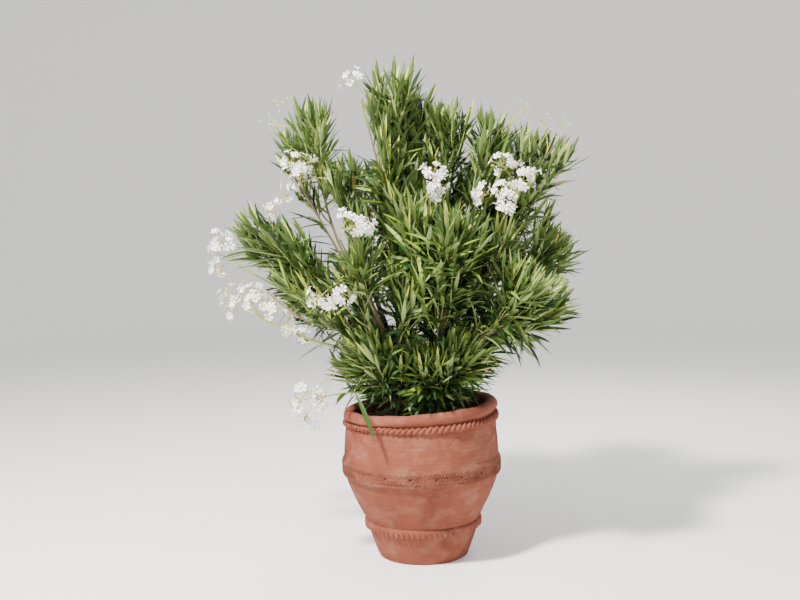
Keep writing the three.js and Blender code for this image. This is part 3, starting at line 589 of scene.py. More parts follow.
class Bench:
    """Lays out one material's nodes and joins them."""

    def __init__(self, name: str, roughness: float, specular: float) -> None:
        """Starts a material with its plain values set on the shader.

        Args:
            name: The material's name.
            roughness: How rough it is, from 0 to 1.
            specular: How much it shines, from 0 to 1.
        """
        self.material = bpy.data.materials.new(name)
        self.material.use_nodes = True
        self.nodes = self.material.node_tree.nodes
        self.links = self.material.node_tree.links
        self.shader = self.nodes["Principled BSDF"]
        self.shader.inputs["Roughness"].default_value = roughness
        self.shader.inputs["Specular IOR Level"].default_value = specular
        self.place = self.nodes.new("ShaderNodeTexCoord").outputs["Object"]

    def join(self, output: Socket, name: str) -> None:
        """Joins an output to the shader's input of that name."""
        self.links.new(output, self.shader.inputs[name])

    def node(self, kind: str, outcome: str | int, inputs: dict, **settings: str) -> Socket:
        """Adds a node.

        Args:
            kind: The kind of node, without the beginning that all kinds share.
            outcome: The output that is returned.
            inputs: What goes into each input, another node's output or a plain value.
            settings: The node's own settings.

        Returns:
            The output asked for.
        """
        node = self.nodes.new(f"ShaderNode{kind}")
        for name, setting in settings.items():
            setattr(node, name, setting)
        for place, value in inputs.items():
            if isinstance(value, Socket):
                self.links.new(value, node.inputs[place])
            else:
                node.inputs[place].default_value = value
        return node.outputs[outcome]

    def stretched(self, scale: tuple[float, float, float]) -> Socket:
        """Returns the place on the object, stretched by a scale along each axis."""
        return self.node("Mapping", "Vector", {"Scale": scale, "Vector": self.place})

    def noise(self, scale: float, detail: float, roughness: float = 0.55,
              place: Socket | None = None) -> Socket:
        """Returns a cloudy pattern from 0 to 1."""
        inputs = {"Scale": scale, "Detail": detail, "Roughness": roughness, "Vector": place or self.place}
        return self.node("TexNoise", "Fac", inputs)

    def cells(self, scale: float, place: Socket) -> Socket:
        """Returns the distance to the nearest of many scattered points."""
        return self.node("TexVoronoi", "Distance", {"Scale": scale, "Vector": place})

    def between(self, value: Socket, low: float, high: float) -> Socket:
        """Returns a value spread so that low gives 0 and high gives 1, held between them."""
        return self.node("MapRange", "Result", {"From Min": low, "From Max": high, "Value": value})

    def height(self, low: float, high: float) -> Socket:
        """Returns a value that goes from 0 to 1 between two heights in metres."""
        return self.between(self.node("SeparateXYZ", "Z", {"Vector": self.place}), low, high)

    def times(self, a: Socket, b: Socket | float) -> Socket:
        """Returns a value times another, or times a number."""
        return self.node("Math", "Value", {0: a, 1: b}, operation="MULTIPLY")

    def plus(self, a: Socket, b: Socket | float) -> Socket:
        """Returns a value plus another, or plus a number."""
        return self.node("Math", "Value", {0: a, 1: b}, operation="ADD")

    def blend(self, share: Socket, a: Colour | Socket, b: Colour | Socket) -> Socket:
        """Returns the colour a where share is 0 and b where it is 1."""
        a, b = (value if isinstance(value, Socket) else linear(*value) for value in (a, b))
        return self.node("Mix", 2, {"Factor": share, 6: a, 7: b}, data_type="RGBA")

    def bump(self, height: Socket, depth: float) -> None:
        """Roughens the surface by a pattern of that depth in metres."""
        self.join(self.node("Bump", "Normal", {"Distance": depth, "Height": height}), "Normal")


@dataclass(frozen=True)
class Plain:
    """A finish of one colour, for leaves, twigs and petals."""

    name: str
    colour: Colour
    roughness: float = 0.5
    specular: float = 0.4

    def material(self) -> bpy.types.Material:
        """Makes the finish's material.

        Returns:
            The material.
        """
        bench = Bench(self.name, self.roughness, self.specular)
        bench.nodes.remove(bench.place.node)
        bench.shader.inputs["Base Color"].default_value = linear(*self.colour)
        return bench.material


@dataclass(frozen=True)
class Terracotta:
    """Fired clay: red-brown, clouded, with lime bloom, damp stains and gritty pores."""

    name: str = "terracotta"
    clay: Colour = (126, 70, 54)
    flush: Colour = (112, 59, 44)
    bloom: Colour = (160, 110, 92)
    stain: Colour = (72, 39, 30)
    grit: Colour = (66, 37, 29)

    def material(self) -> bpy.types.Material:
        """Makes the finish's material.

        Returns:
            The material.
        """
        bench = Bench(self.name, 0.88, 0.18)
        clouds = bench.noise(5.5, 5)
        colour = bench.blend(bench.between(clouds, 0.34, 0.68), self.clay, self.flush)
        wiped = bench.noise(11, 6, 0.62, bench.stretched((1, 1, 1.5)))
        bloom = bench.times(bench.between(wiped, 0.48, 0.78), 0.5)
        colour = bench.blend(bloom, colour, self.bloom)
        runs = bench.noise(13, 4, 0.5, bench.stretched((1, 1, 0.16)))
        low = bench.plus(bench.times(bench.height(0.2, 0.0), 0.4), 0.3)
        colour = bench.blend(bench.times(bench.between(runs, 0.56, 0.78), low), colour, self.stain)
        grains = bench.noise(420, 2)
        colour = bench.blend(bench.times(bench.between(grains, 0.62, 0.72), 0.5), colour, self.grit)
        bench.join(colour, "Base Color")
        skin = bench.plus(bench.noise(160, 5, 0.62), bench.times(grains, 0.25))
        bench.bump(skin, 0.0016)
        return bench.material


@dataclass(frozen=True)
class Earth:
    """Dark potting soil, clotted, with pale mineral specks."""

    damp: Colour = (44, 32, 25)
    dry: Colour = (92, 70, 54)
    speck: Colour = (150, 132, 112)

    def material(self) -> bpy.types.Material:
        """Makes the finish's material.

        Returns:
            The material.
        """
        bench = Bench("soil", 0.95, 0.15)
        clots = bench.noise(38, 6, 0.65)
        colour = bench.blend(bench.between(clots, 0.35, 0.7), self.damp, self.dry)
        specks = bench.between(bench.noise(240, 2), 0.66, 0.72)
        bench.join(bench.blend(bench.times(specks, 0.7), colour, self.speck), "Base Color")
        bench.bump(bench.noise(120, 6, 0.7), 0.003)
        return bench.material


@dataclass(frozen=True)
class Bark:
    """Grey-brown bark, streaked along the cane, with corky pores and a green flush."""

    grey: Colour = (98, 90, 70)
    brown: Colour = (70, 58, 42)
    green: Colour = (86, 94, 50)
    pore: Colour = (134, 120, 94)

    def material(self) -> bpy.types.Material:
        """Makes the finish's material.

        Returns:
            The material.
        """
        bench = Bench("bark", 0.8, 0.25)
        streaks = bench.noise(60, 5, 0.6, bench.stretched((1, 1, 0.15)))
        colour = bench.blend(bench.between(streaks, 0.35, 0.65), self.brown, self.grey)
        flush = bench.times(bench.between(bench.noise(9, 3), 0.45, 0.7), bench.height(0.7, 1.1))
        colour = bench.blend(bench.times(flush, 0.7), colour, self.green)
        pores = bench.between(bench.cells(190, bench.stretched((1, 1, 0.5))), 0.26, 0.14)
        bench.join(bench.blend(bench.times(pores, 0.6), colour, self.pore), "Base Color")
        bench.bump(bench.plus(streaks, bench.times(pores, 0.35)), 0.0012)
        return bench.material


# Jar and soil


@dataclass
class Jar:
    """The hand-made terracotta jar: turned body, toothed flange, stamped belt, rope and rolled rim.

    Lengths are in millimetres. Throwing lines are pairs of spacing and depth, foot grooves of
    height and depth, swag lines of distance from the swag and width, and the inner wall is pairs
    of height and radius.
    """

    body_steps: int = 560
    band_steps: int = 704
    neck_radius: float = 301.0
    roll_radius: float = 22.0
    roll_centre: tuple[float, float] = (290.0, 590.0)
    rim_slope: float = 0.06
    outer_slope: tuple[float, float] = (520.0, 580.0)
    inner_slope: tuple[float, float] = (548.0, 568.0)
    throwing_lines: tuple = ((7.4, 0.3), (17.0, 0.25))
    foot_grooves: tuple = ((160, 1.1), (167.5, 1.5), (176, 0.9), (187, 0.6))
    foot_groove_width: float = 1.9
    inner_wall: tuple = ((0, 110), (100, 170), (200, 226), (330, 277), (405, 287), (530, 274))
    swags: int = 17
    swag_radius: float = 305.0
    swag_height: float = 536.0
    swag_fall: float = 52.0
    swag_band: tuple[float, float] = (466.0, 538.0)
    swag_depth: float = 1.5
    swag_lines: tuple = ((0.0, 2.6), (8.0, 2.4))
    strands: int = 84
    rope_height: float = 553.0
    rope_radius: float = 13.5
    groove_size: float = 0.32
    strand_size: float = 0.76
    belt_low: float = 334.0
    belt_high: float = 404.0
    belt_radius: float = 320.0
    stamp_row: float = 14.0
    stamp_stroke: float = 12.0
    stamp_depth: float = 5.0
    pits: int = 20
    pit_height: float = 371.0
    pit_depth: float = 8.0
    lap_turn: float = -2.62
    lap_cut_turn: float = -2.54
    teeth: int = 66
    tooth_slant: float = 1.8
    tooth_rise: float = 12.0
    tooth_drop: float = 21.0
    hand: Ripples = field(default_factory=lambda: Ripples(3, 330, (1, 1, 0.7)))
    touch: Ripples = field(default_factory=lambda: Ripples(4, 46))
    chips: Ripples = field(default_factory=lambda: Ripples(5, 15))

    def uneven(self, points: Array, share: float = 1.0) -> Array:
        """Pushes points in and out as the maker's hands did.

        Args:
            points: The points, one row each.
            share: How much of the fine unevenness is taken.

        Returns:
            The points, moved.
        """
        out = self.hand.at(points) * 1.5 + self.touch.at(points) * 0.45 * share
        radius = np.maximum(polar(points)[0], 1)
        return pushed(points, out * (np.clip(points[:, 2] / 25, 0, 1) * np.clip(radius / 150, 0, 1)))

    def body_outline(self) -> list[tuple[float, float]]:
        """Draws the section of the body.

        Returns:
            Pairs of radius and height, from the middle of the underside to that of the floor inside.
        """
        (centre, level), size = self.roll_centre, self.roll_radius
        arc = [math.radians(a) for a in np.linspace(-70, 214, 22)]
        roll = [(centre + size * math.cos(a), level + size * math.sin(a)) for a in arc]
        parts = [
            ([(0, 0), (90, 0), (178, 0)], 30),
            ([(178, 0), (181, 2.5), (199, 50), (217, 100), (227, 136)], 7),
            ([(227, 136), (229.5, 151), (240, 172), (252, 196), (276, 244), (296, 292), (308, 332)], 5),
            ([(308, 332), (313, 404)], 24),
            ([(313, 404), (312, 430), (309.5, 458), (307, 486), (304, 508), (302, 530), (300.5, 540)], 2.8),
            ([(300.5, 540), (299, 552), (297.5, 562), roll[0]], 6),
            (roll, 5),
            ([roll[-1], (270, 562), (272, 548), (274, 530)], 8),
            ([(274, 530), (287, 405), (277, 330), (226, 200), (158, 32)], 40),
            ([(158, 32), (80, 32), (0, 32)], 60),
        ]
        outline = []
        for pairs, step in parts:
            line = smooth_outline(pairs, step)
            outline += line if not outline else line[1:]
        return outline

    def shape_body(self, points: Array) -> Array:
        """Gives the body its throwing lines, swags, unevenness and sloping mouth.

        Args:
            points: The points, one row each.

        Returns:
            The points, moved.
        """
        height = points[:, 2]
        radius, turn = polar(points)
        inner = np.interp(height, *zip(*self.inner_wall))
        is_outside = (radius > inner + 8) & (height < 560)
        lines = sum(depth * np.sin(TURN * height / spacing) for spacing, depth in self.throwing_lines)
        for at, depth in self.foot_grooves:
            lines -= depth * np.exp(-(((height - at) / self.foot_groove_width) ** 2))
        around = turn / TURN * self.swags
        cross = 2 * (around - np.floor(around)) - 1
        slope = 2 * self.swag_fall * cross / (math.pi * self.swag_radius / self.swags)
        hang = self.swag_height - self.swag_fall * (1 - cross**2)
        away = (height - hang) / np.sqrt(1 + slope**2)
        is_band = (height > self.swag_band[0]) & (height < self.swag_band[1])
        groove, second_groove = (np.exp(-(((away - at) / width) ** 2)) for at, width in self.swag_lines)
        lines -= self.swag_depth * (groove + 0.5 * second_groove) * is_band
        return self.slope_mouth(self.uneven(pushed(points, np.where(is_outside, lines, 0))))

    def slope_mouth(self, points: Array) -> Array:
        """Tips the mouth out of level above the neck, with the wavering of a rolled lip.

        Args:
            points: The points, one row each.

        Returns:
            The points, moved.
        """
        is_outside = polar(points)[0] > self.roll_centre[0]
        low, high = (np.where(is_outside, *ends) for ends in zip(self.outer_slope, self.inner_slope))
        share = np.clip((points[:, 2] - low) / (high - low), 0, 1)
        waver = self.hand.at(points * (1.6, 1.6, 0) + 900) * 1.6
        dents = self.touch.at(points * (0.8, 0.8, 0.8) + 400) * 0.9
        lift = self.rim_slope * points[:, 0] * share + (waver + dents) * share
        return points + lift[:, None] * UP

    def make_body(self) -> bpy.types.Mesh:
        """Returns the turned body."""
        mesh = mesh_of(turned(self.body_outline(), self.body_steps, False), "jar_body")
        return moved(mesh, self.shape_body)

    def make_rope(self) -> bpy.types.Mesh:
        """Makes the rope, whose strands lie over each other and lean to the right.

        Returns:
            The mesh.
        """
        centre, level, size = self.neck_radius, self.rope_height, self.rope_radius
        arc = np.arange(18) * TURN / 18
        section = [(centre + size * math.cos(a), level + size * math.sin(a)) for a in arc]

        def twist(points: Array) -> Array:
            """Gives the ring its strands and the sloping mouth.

            Args:
                points: The points, one row each.

            Returns:
                The points, moved.
            """
            x, y, height = points.T
            radius, turn = polar(points)
            out, rise = radius - centre, height - level
            slip = waved(turn, (0.35, 3, 1.1), (0.25, 7, 0))
            strand = np.abs(np.cos((self.strands * turn - 2 * np.arctan2(rise, out) + slip) / 2))
            swell = self.groove_size + self.strand_size * strand**0.7 + 0.03 * self.touch.at(points * 1.5)
            grown = centre + out * swell
            sway = waved(turn, (1.3, 2, 0.4), (0.8, 5, 0))
            shaped = np.stack([x * grown / radius, y * grown / radius, level + rise * swell + sway], -1)
            return self.slope_mouth(self.uneven(shaped, 0))

        return moved(mesh_of(turned(section, self.band_steps, True), "jar_rope", 70), twist)

    def make_belt(self) -> bpy.types.Mesh:
        """Makes the belt: a bevelled band, stamped in slanting rows and pitted at intervals.

        Returns:
            The mesh.
        """
        low, high, out = self.belt_low, self.belt_high, self.belt_radius
        section = [(300, low + 8), (309.5, low + 0.5), (out - 5, low), (out - 2, low + 3)]
        section += [(out - 0.4, low + 7), *((out + 0.1 * k, low + 10 + 2.9 * k) for k in range(16))]
        section += [(out + 1.2, high - 13.5), (out - 1.5, high - 8), (out - 4.5, high - 2)]
        section += [(out - 7, high + 4), (out - 9.5, high + 6), (300, high + 4)]

        def stamp(points: Array) -> Array:
            """Gives the band its stamped rows, its pits and the lap where its ends meet.

            Args:
                points: The points, one row each.

            Returns:
                The points, moved.
            """
            height = points[:, 2]
            radius, turn = polar(points)
            on_face = np.clip((height - low - 7) / 4, 0, 1) * np.clip((high - 13 - height) / 3, 0, 1)
            level = (height - low) / self.stamp_row
            way = np.where(np.floor(level) % 2 == 0, 1, -1)
            wave = np.abs(((turn * out + way * height * 0.9) / self.stamp_stroke) % 1 - 0.5) * 2
            seam = np.exp(-((((level % 1) - 0.5) * 2 / 0.9) ** 8))
            faded = np.clip(0.9 + 0.5 * self.touch.at(points * 0.7), 0.2, 1.3)
            press = self.stamp_depth * (wave * seam - 0.7) * faded + 0.7 * self.chips.at(points)
            press = on_face * press
            pit_run = ((turn / TURN * self.pits) % 1 - 0.5) * TURN * out / self.pits
            pit = np.hypot(pit_run, height - self.pit_height)
            press = press * (1 - np.exp(-((pit / 10) ** 4)))
            press -= on_face * self.pit_depth * np.exp(-((pit / 6.5) ** 4))
            press += 0.8 * self.chips.at(points * 0.45) * (height > high - 14)
            lap = np.exp(-(((turn - self.lap_turn) / 0.035) ** 2)) * (3.2 + 2.0 * self.chips.at(points * 0.6))
            press += lap - 3.0 * np.exp(-(((turn - self.lap_cut_turn) / 0.014) ** 2))
            press *= radius > 311
            return self.uneven(pushed(points, press, waved(turn, (1.1, 2, 2.0), (0.5, 9, 0))), 0)

        return moved(mesh_of(turned(section, self.band_steps * 2, True), "jar_belt", 55), stamp)

    def make_flange(self) -> bpy.types.Mesh:
        """Makes the flange, whose drooping lip is pinched into teeth that slant to the right.

        Returns:
            The mesh.
        """
        section = [(222, 137), (224, 147), (229.5, 152), (234, 150), (237, 145), (237.6, 139.5), (236.4, 134)]
        section += [(235.2, 129), (232.4, 128.5), (230, 132.5), (226, 135.5)]

        def pinch(points: Array) -> Array:
            """Gives the ring its teeth.

            Args:
                points: The points, one row each.

            Returns:
                The points, moved.
            """
            radius, turn = polar(points)
            hang = np.clip((143 - points[:, 2]) / 14, 0, 1) * (radius > 229)
            slip = waved(turn, (0.5, 4, 0), (0.3, 11, 1))
            tooth = np.abs(np.cos((self.teeth * turn + slip - hang * self.tooth_slant) / 2)) ** 0.6
            drop = hang * (self.tooth_rise - self.tooth_drop * tooth) * (1 + 0.15 * self.touch.at(points))
            up = drop + waved(turn, (0.9, 3, 0.7))
            return self.uneven(pushed(points, hang * (5.0 * tooth - 3.0), up), 0)

        return moved(mesh_of(turned(section, self.band_steps, True), "jar_flange", 60), pinch)

    def build(self) -> None:
        """Makes the jar's pieces and dresses them."""
        clay = Terracotta().material()
        # The belt's clay is a copy with darker clay, flush, stain and grit: painted shade for its stamped
        # face and the grooves of its hatching.
        belt_clay_painted_shade = Terracotta(
            "terracotta_stamped", (116, 66, 51), (98, 54, 40), (162, 116, 98), (66, 36, 28), (54, 31, 24)
        ).material()
        for mesh in (self.make_body(), self.make_rope(), self.make_flange()):
            show(mesh, [clay], ["jar"])
        show(self.make_belt(), [belt_clay_painted_shade], ["jar"])


@dataclass
class Soil:
    """The soil: a cloddy top with crumbs and a little gravel on it."""

    steps: int = 160
    crumbs: int = 700
    top_radius: float = 270.5
    clods: Ripples = field(default_factory=lambda: Ripples(11, 60))
    grains: Ripples = field(default_factory=lambda: Ripples(12, 13))

    def top_at(self, points: Array) -> Array:
        """Returns how high the soil stands at each point, above its level."""
        flat = points * (1, 1, 0)
        return self.clods.at(flat) * 2.6 + self.grains.at(flat) * 1.1 - 1.5

    def make_ground(self) -> bpy.types.Mesh:
        """Makes the filling of the jar up to its cloddy top.

        Returns:
            The mesh.
        """
        radii = np.linspace(0, self.top_radius, 46)
        wall = [(0, 33), (157, 33), (225, 201), (276, 331), (286, 405), (273, 531)]
        outline = wall + [(radius, SOIL_TOP) for radius in radii[::-1]]

        def roughen(points: Array) -> Array:
            """Returns the filling's points with a cloddy top."""
            is_top = points[:, 2] > SOIL_TOP - 1
            return points + (self.top_at(points) * is_top)[:, None] * UP

        return moved(mesh_of(turned(outline, self.steps, False), "soil_ground", 60), roughen)

    def make_crumbs(self) -> bpy.types.Mesh:
        """Makes the crumbs and bits of gravel that lie on the top.

        Returns:
            The mesh.
        """
        bm = bmesh.new()
        bmesh.ops.create_icosphere(bm, subdivisions=1, radius=1)
        stencil = Stencil.of(bm, lambda face: 0)
        rng = np.random.default_rng(21)
        turn = rng.uniform(0, TURN, self.crumbs)
        radius = np.sqrt(rng.uniform(0, 1, self.crumbs)) * (self.top_radius - 8)
        size = rng.uniform(1.4, 4.6, self.crumbs) ** 1.15
        centre = np.stack([radius * np.cos(turn), radius * np.sin(turn), np.full(self.crumbs, SOIL_TOP)], -1)
        centre[:, 2] += self.top_at(centre) + size * 0.25
        knobs = stencil.points[None] * rng.uniform(0.7, 1.25, (self.crumbs, len(stencil.points), 1))
        knobs = knobs * size[:, None, None] * rng.uniform(0.6, 1.2, (self.crumbs, 1, 3))
        heap = Heap()
        heap.add(stencil, (knobs + centre[:, None]) * MM, rng.integers(0, 2, (self.crumbs, 1)))
        return heap.mesh("soil_crumbs", 30)

    def build(self) -> None:
        """Makes the soil's pieces and dresses them."""
        earth = Earth().material()
        gravel = Plain("gravel", (138, 122, 104), 0.9, 0.2).material()
        show(self.make_ground(), [earth], ["soil"])
        show(self.make_crumbs(), [earth, gravel], ["soil"])


# Wood


@dataclass
class Limb:
    """A cane, bough or stem: its axis, and its bark radius along it."""

    curve: Curve
    thick: float
    thin: float
    flare: float = 0.0
    flare_height: float = 0.07

    def radii(self, shares: Array) -> Array:
        """Finds the bark radius along the limb.

        Args:
            shares: Shares of the length.

        Returns:
            The radii.
        """
        shares = np.asarray(shares, float)
        swell = 1 + self.flare * np.maximum(0, 1 - shares / self.flare_height) ** 2
        return (self.thick + (self.thin - self.thick) * shares) * swell

    def stretches(self, count: int) -> Array:
        """Cuts the limb into straight stretches.

        Args:
            count: How many.

        Returns:
            Rows of start, end and radius.
        """
        shares = np.arange(count + 1) / count
        points = self.curve.points(shares)
        return np.concatenate([points[:-1], points[1:], self.radii(shares[:-1])[:, None]], axis=1)


def cane_limb(foot: Iterable[float], tip: Iterable[float]) -> Limb:
    """Lays out a cane: straight up out of the soil, then leaning out to its tip.

    Args:
        foot: Where it stands on the soil.
        tip: Its tip.

    Returns:
        The cane.
    """
    foot, tip = np.array(foot, float), np.array(tip, float)
    start = np.array([*foot, SOIL_TOP])
    knee = np.array([*foot, mix(SOIL_TOP, tip[2], 0.18)])
    middle = np.array([*(foot + (tip[:2] - foot) * 0.12), mix(SOIL_TOP, tip[2], 0.45)])
    return Limb(Curve(start, knee, middle, tip), *CANE_RADII, flare=CANE_FLARE)


def swung(along: Array, towards: Array) -> Array:
    """Returns the way in which a side limb leaves: more than half of the turn to where it goes."""
    return unit(along + (unit(towards) - along) * 0.6)


def bough_limb(cane: Curve, at: float, tip: Iterable[float]) -> Limb:
    """Lays out a bough: it leaves along its cane, swings out and rises to its tip.

    Args:
        cane: The cane's axis.
        at: How far up the cane it leaves.
        tip: Its tip.

    Returns:
        The bough.
    """
    start, end = cane.point(at), np.array(tip, float)
    leaving = swung(cane.tangent(at), end - start)
    return Limb(Curve(start, start + leaving * np.linalg.norm(end - start) * 0.45, end), *BOUGH_RADII)


@dataclass
class Wood:
    """The canes and boughs, with bark relief."""

    cane_sides: int = 26
    bough_sides: int = 16
    ring_step: float = 5.5
    scar_spacing: float = 31.0
    scar_width: float = 2.1
    scar_height: float = 0.8
    furrow_depth: float = 0.55
    wart_height: float = 0.7
    furrows: Ripples = field(default_factory=lambda: Ripples(31, 13, (1, 1, 7)))
    warts: Ripples = field(default_factory=lambda: Ripples(32, 7))
    limbs: dict[str, Limb] = field(default_factory=dict)

    def __post_init__(self) -> None:
        """Lays out the axes of the canes and of the boughs on them."""
        for name, (foot, tip) in CANES.items():
            self.limbs[name] = cane_limb(foot, tip)
        for name, (cane, at, tip) in BOUGHS.items():
            self.limbs[name] = bough_limb(self.limbs[cane].curve, at, tip)

    def stations(self, limb: Limb) -> list[Matrix]:
        """Works out where each ring of a limb lies, with its size.

        Args:
            limb: The limb.

        Returns:
            The rings' places, from the foot up.
        """
        count = max(12, round(limb.curve.length / self.ring_step))
        shares = np.linspace(0, 1, count + 1)
        centres, along = limb.curve.points(shares) * MM, limb.curve.tangents(shares)
        along[0] = UP if limb.flare else along[0]
        side, other = across_of(along)
        radii = limb.radii(shares) * MM
        return [
            Matrix((
                (o[0] * r, s[0] * r, a[0], c[0]),
                (o[1] * r, s[1] * r, a[1], c[1]),
                (o[2] * r, s[2] * r, a[2], c[2]),
                (0, 0, 0, 1),
            ))
            for o, s, a, c, r in zip(other, side, along, centres, radii)
        ]

    def sweep(self, bm: bmesh.types.BMesh, limb: Limb, sides: int, layer: bmesh.types.BMLayerItem) -> None:
        """Draws a ring along a limb, closed at both ends.

        Args:
            bm: The bmesh that takes the limb.
            limb: The limb.
            sides: Corners to a ring.
            layer: A number layer that takes the distance along the limb, in millimetres.
        """
        stations = self.stations(limb)
        step = limb.curve.length / (len(stations) - 1)
        ring = bmesh.ops.create_circle(bm, cap_ends=True, segments=sides, radius=1)["verts"]
        bmesh.ops.transform(bm, matrix=stations[0], verts=ring)
        edges = list({edge for vert in ring for edge in vert.link_edges})
        for k, (here, after) in enumerate(zip(stations, stations[1:])):
            made = bmesh.ops.extrude_edge_only(bm, edges=edges)["geom"]
            ring = [item for item in made if isinstance(item, bmesh.types.BMVert)]
            edges = [item for item in made if isinstance(item, bmesh.types.BMEdge)]
            edges = [edge for edge in edges if all(vert in set(ring) for vert in edge.verts)]
            bmesh.ops.transform(bm, matrix=after @ here.inverted(), verts=ring)
            for vert in ring:
                vert[layer] = step * (k + 1)
        bmesh.ops.contextual_create(bm, geom=edges)

    def make(self, name: str, members: list[str], sides: int) -> bpy.types.Mesh:
        """Makes some limbs as one mesh with bark relief.

        Args:
            name: The mesh's name.
            members: The names of the limbs.
            sides: Corners to a ring.

        Returns:
            The mesh.
        """
        whole = bmesh.new()
        for member in members:
            bm = bmesh.new()
            layer = bm.verts.layers.float.new("along")
            self.sweep(bm, self.limbs[member], sides, layer)
            bmesh.ops.recalc_face_normals(bm, faces=bm.faces)
            bm.normal_update()
            points = np.array([vert.co for vert in bm.verts]) / MM
            along = np.array([vert[layer] for vert in bm.verts])
            relief = self.relief(points, along)
            for vert, out in zip(bm.verts, relief):
                vert.co += vert.normal * out * MM
            bm.verts.layers.float.remove(layer)
            limb = mesh_of(bm, member)
            whole.from_mesh(limb)
            bpy.data.meshes.remove(limb)
        return mesh_of(whole, name, 60)

    def relief(self, points: Array, along: Array) -> Array:
        """Works out how far the bark stands out, with furrows, warts and the scars of old whorls.

        Args:
            points: Points of the bark in millimetres, one row each.
            along: How far along its limb each point is.

        Returns:
            How far out each point goes, in millimetres.
        """
        wart = np.maximum(0, self.warts.at(points) - 0.9)
        off_scar = (((along / self.scar_spacing) % 1) - 0.5) * self.scar_spacing
        scar = np.exp(-((off_scar / self.scar_width) ** 2))
        relief = self.furrow_depth * self.furrows.at(points) + self.wart_height * wart
        return (relief + self.scar_height * scar) * np.minimum(1, along / 10)

    def build(self) -> None:
        """Makes the canes and the boughs and dresses them."""
        bark = Bark().material()
        show(self.make("canes", list(CANES), self.cane_sides), [bark], CANES)
        show(self.make("boughs", list(BOUGHS), self.bough_sides), [bark], BOUGHS)


# Foliage


LEAF_TONES = [
    Plain("leaf_deep", (30, 50, 20), 0.42, 0.32),
    Plain("leaf_mid", (48, 78, 26), 0.42, 0.32),
    Plain("leaf_olive", (82, 104, 34), 0.44, 0.3),
    Plain("leaf_fresh", (118, 138, 52), 0.46, 0.3),
    Plain("leaf_grey", (60, 86, 42), 0.42, 0.32),
    Plain("leaf_young", (162, 174, 82), 0.5, 0.28),
    Plain("leaf_under", (88, 110, 52), 0.58, 0.2),
    Plain("leaf_under_pale", (134, 152, 94), 0.58, 0.2),
    Plain("leaf_yellowed", (186, 168, 80), 0.6, 0.3),
]
MID, YOUNG, UNDER, UNDER_PALE, YELLOWED = 1, 5, 6, 7, 8


class Leaf(NamedTuple):
    """A leaf: foot, directions, size in millimetres, bends in radians, and its sides' colours."""

    root: Array
    way: Array
    facing: Array
    length: float
    width: float
    droop: float
    fold: float
    twist: float
    upper: int
    under: int


TWIG_TONES = [
    Plain("twig_bark", (118, 108, 80), 0.75, 0.25),
    Plain("twig_olive", (134, 136, 82), 0.6, 0.3),
    Plain("twig_green", (162, 172, 92), 0.55, 0.35),
]

TWIG_BARK, TWIG_OLIVE, TWIG_GREEN = range(3)

BLOSSOM_TONES = [
    Plain("petal", (244, 241, 236), 0.55, 0.3),
    Plain("petal_throat", (232, 226, 190), 0.6, 0.3),
    Plain("stalk", (188, 178, 98), 0.55, 0.3),
    Plain("bud", (206, 206, 150), 0.55, 0.3),
    Plain("calyx", (132, 136, 72), 0.6, 0.3),
]
PETAL, THROAT, STALK, BUD, CALYX = range(5)


@dataclass
class Leaves:
    """Gathers leaves and makes their blades."""

    ring_shares: tuple = (0.0, 0.05, 0.16, 0.33, 0.52, 0.71, 0.87, 1.0)
    ring_widths: tuple = (0.0, 0.14, 0.55, 0.93, 1.0, 0.78, 0.40, 0.0)
    thickness: float = 1.5
    rows: list[Leaf] = field(default_factory=list)

    def make(self, heap: Heap) -> None:
        """Adds the gathered leaves to a heap.

        Args:
            heap: Takes the leaves.
        """
        spindle = Spindle(4, len(self.ring_shares) - 2)
        roots, along, facing = (np.array([row[k] for row in self.rows]) for k in range(3))
        size = np.array([row[3:8] for row in self.rows])[:, :, None]
        length, width, droop, fold, twist = (size[:, k] for k in range(5))
        normal = unit(facing - along * dot(facing, along))
        side = np.cross(normal, along)
        share = np.array(self.ring_shares)[spindle.ring][None]
        broad = np.array(self.ring_widths)[spindle.ring][None] * width / 2
        angle = droop * share
        ahead = length * share * (1 - angle**2 / 6)
        fall = length * share * angle / 2
        across = spindle.x[None] * broad
        lift = np.abs(across) * np.tan(fold)
        keel = (spindle.y[None] < -0.5) * self.thickness * np.sqrt(np.maximum(broad / (width / 2), 0))
        turn = twist * share
        ups = lift - keel
        flat = across * np.cos(turn) - ups * np.sin(turn)
        ups = across * np.sin(turn) + ups * np.cos(turn) - fall
        points = roots[:, None] + along[:, None] * ahead[..., None]
        points = points + side[:, None] * flat[..., None] + normal[:, None] * ups[..., None]
        heap.add(spindle.stencil, points * MM, np.array([row[8:10] for row in self.rows]))


@dataclass
class Strands:
    """Gathers thin round strands, such as twigs and stalks, and makes their tubes."""

    sides: int
    rings: int
    rows: list[tuple] = field(default_factory=list)

    def add(self, curve: Curve, thick: float, thin: float, colour: int) -> None:
        """Adds a strand along a curve, from one radius to another."""
        self.rows.append((curve, thick, thin, colour))

    def make(self, heap: Heap) -> None:
        """Adds the gathered strands to a heap.

        Args:
            heap: Takes the strands.
        """
        if not self.rows:
            return
        spindle = Spindle(self.sides, self.rings)
        inner = np.linspace(0, 1, self.rings)
        shares = np.concatenate([[0], inner, [1]])
        centres = np.stack([curve.points(shares) for curve, *_ in self.rows])
        along = np.stack([curve.tangents(shares) for curve, *_ in self.rows])
        side, other = across_of(along)
        thick, thin = (np.array([row[k] for row in self.rows])[:, None] for k in (1, 2))
        radii = thick + (thin - thick) * shares[None]
        centres[:, 0] -= along[:, 0] * radii[:, :1] * 0.3
        centres[:, -1] += along[:, -1] * radii[:, -1:] * 0.6
        ring = spindle.ring
        points = centres[:, ring] + (
            other[:, ring] * spindle.x[None, :, None] + side[:, ring] * spindle.y[None, :, None]
        ) * radii[:, ring, None]
        colours = np.array([[row[3]] * 2 for row in self.rows])
        heap.add(spindle.stencil, points * MM, colours)


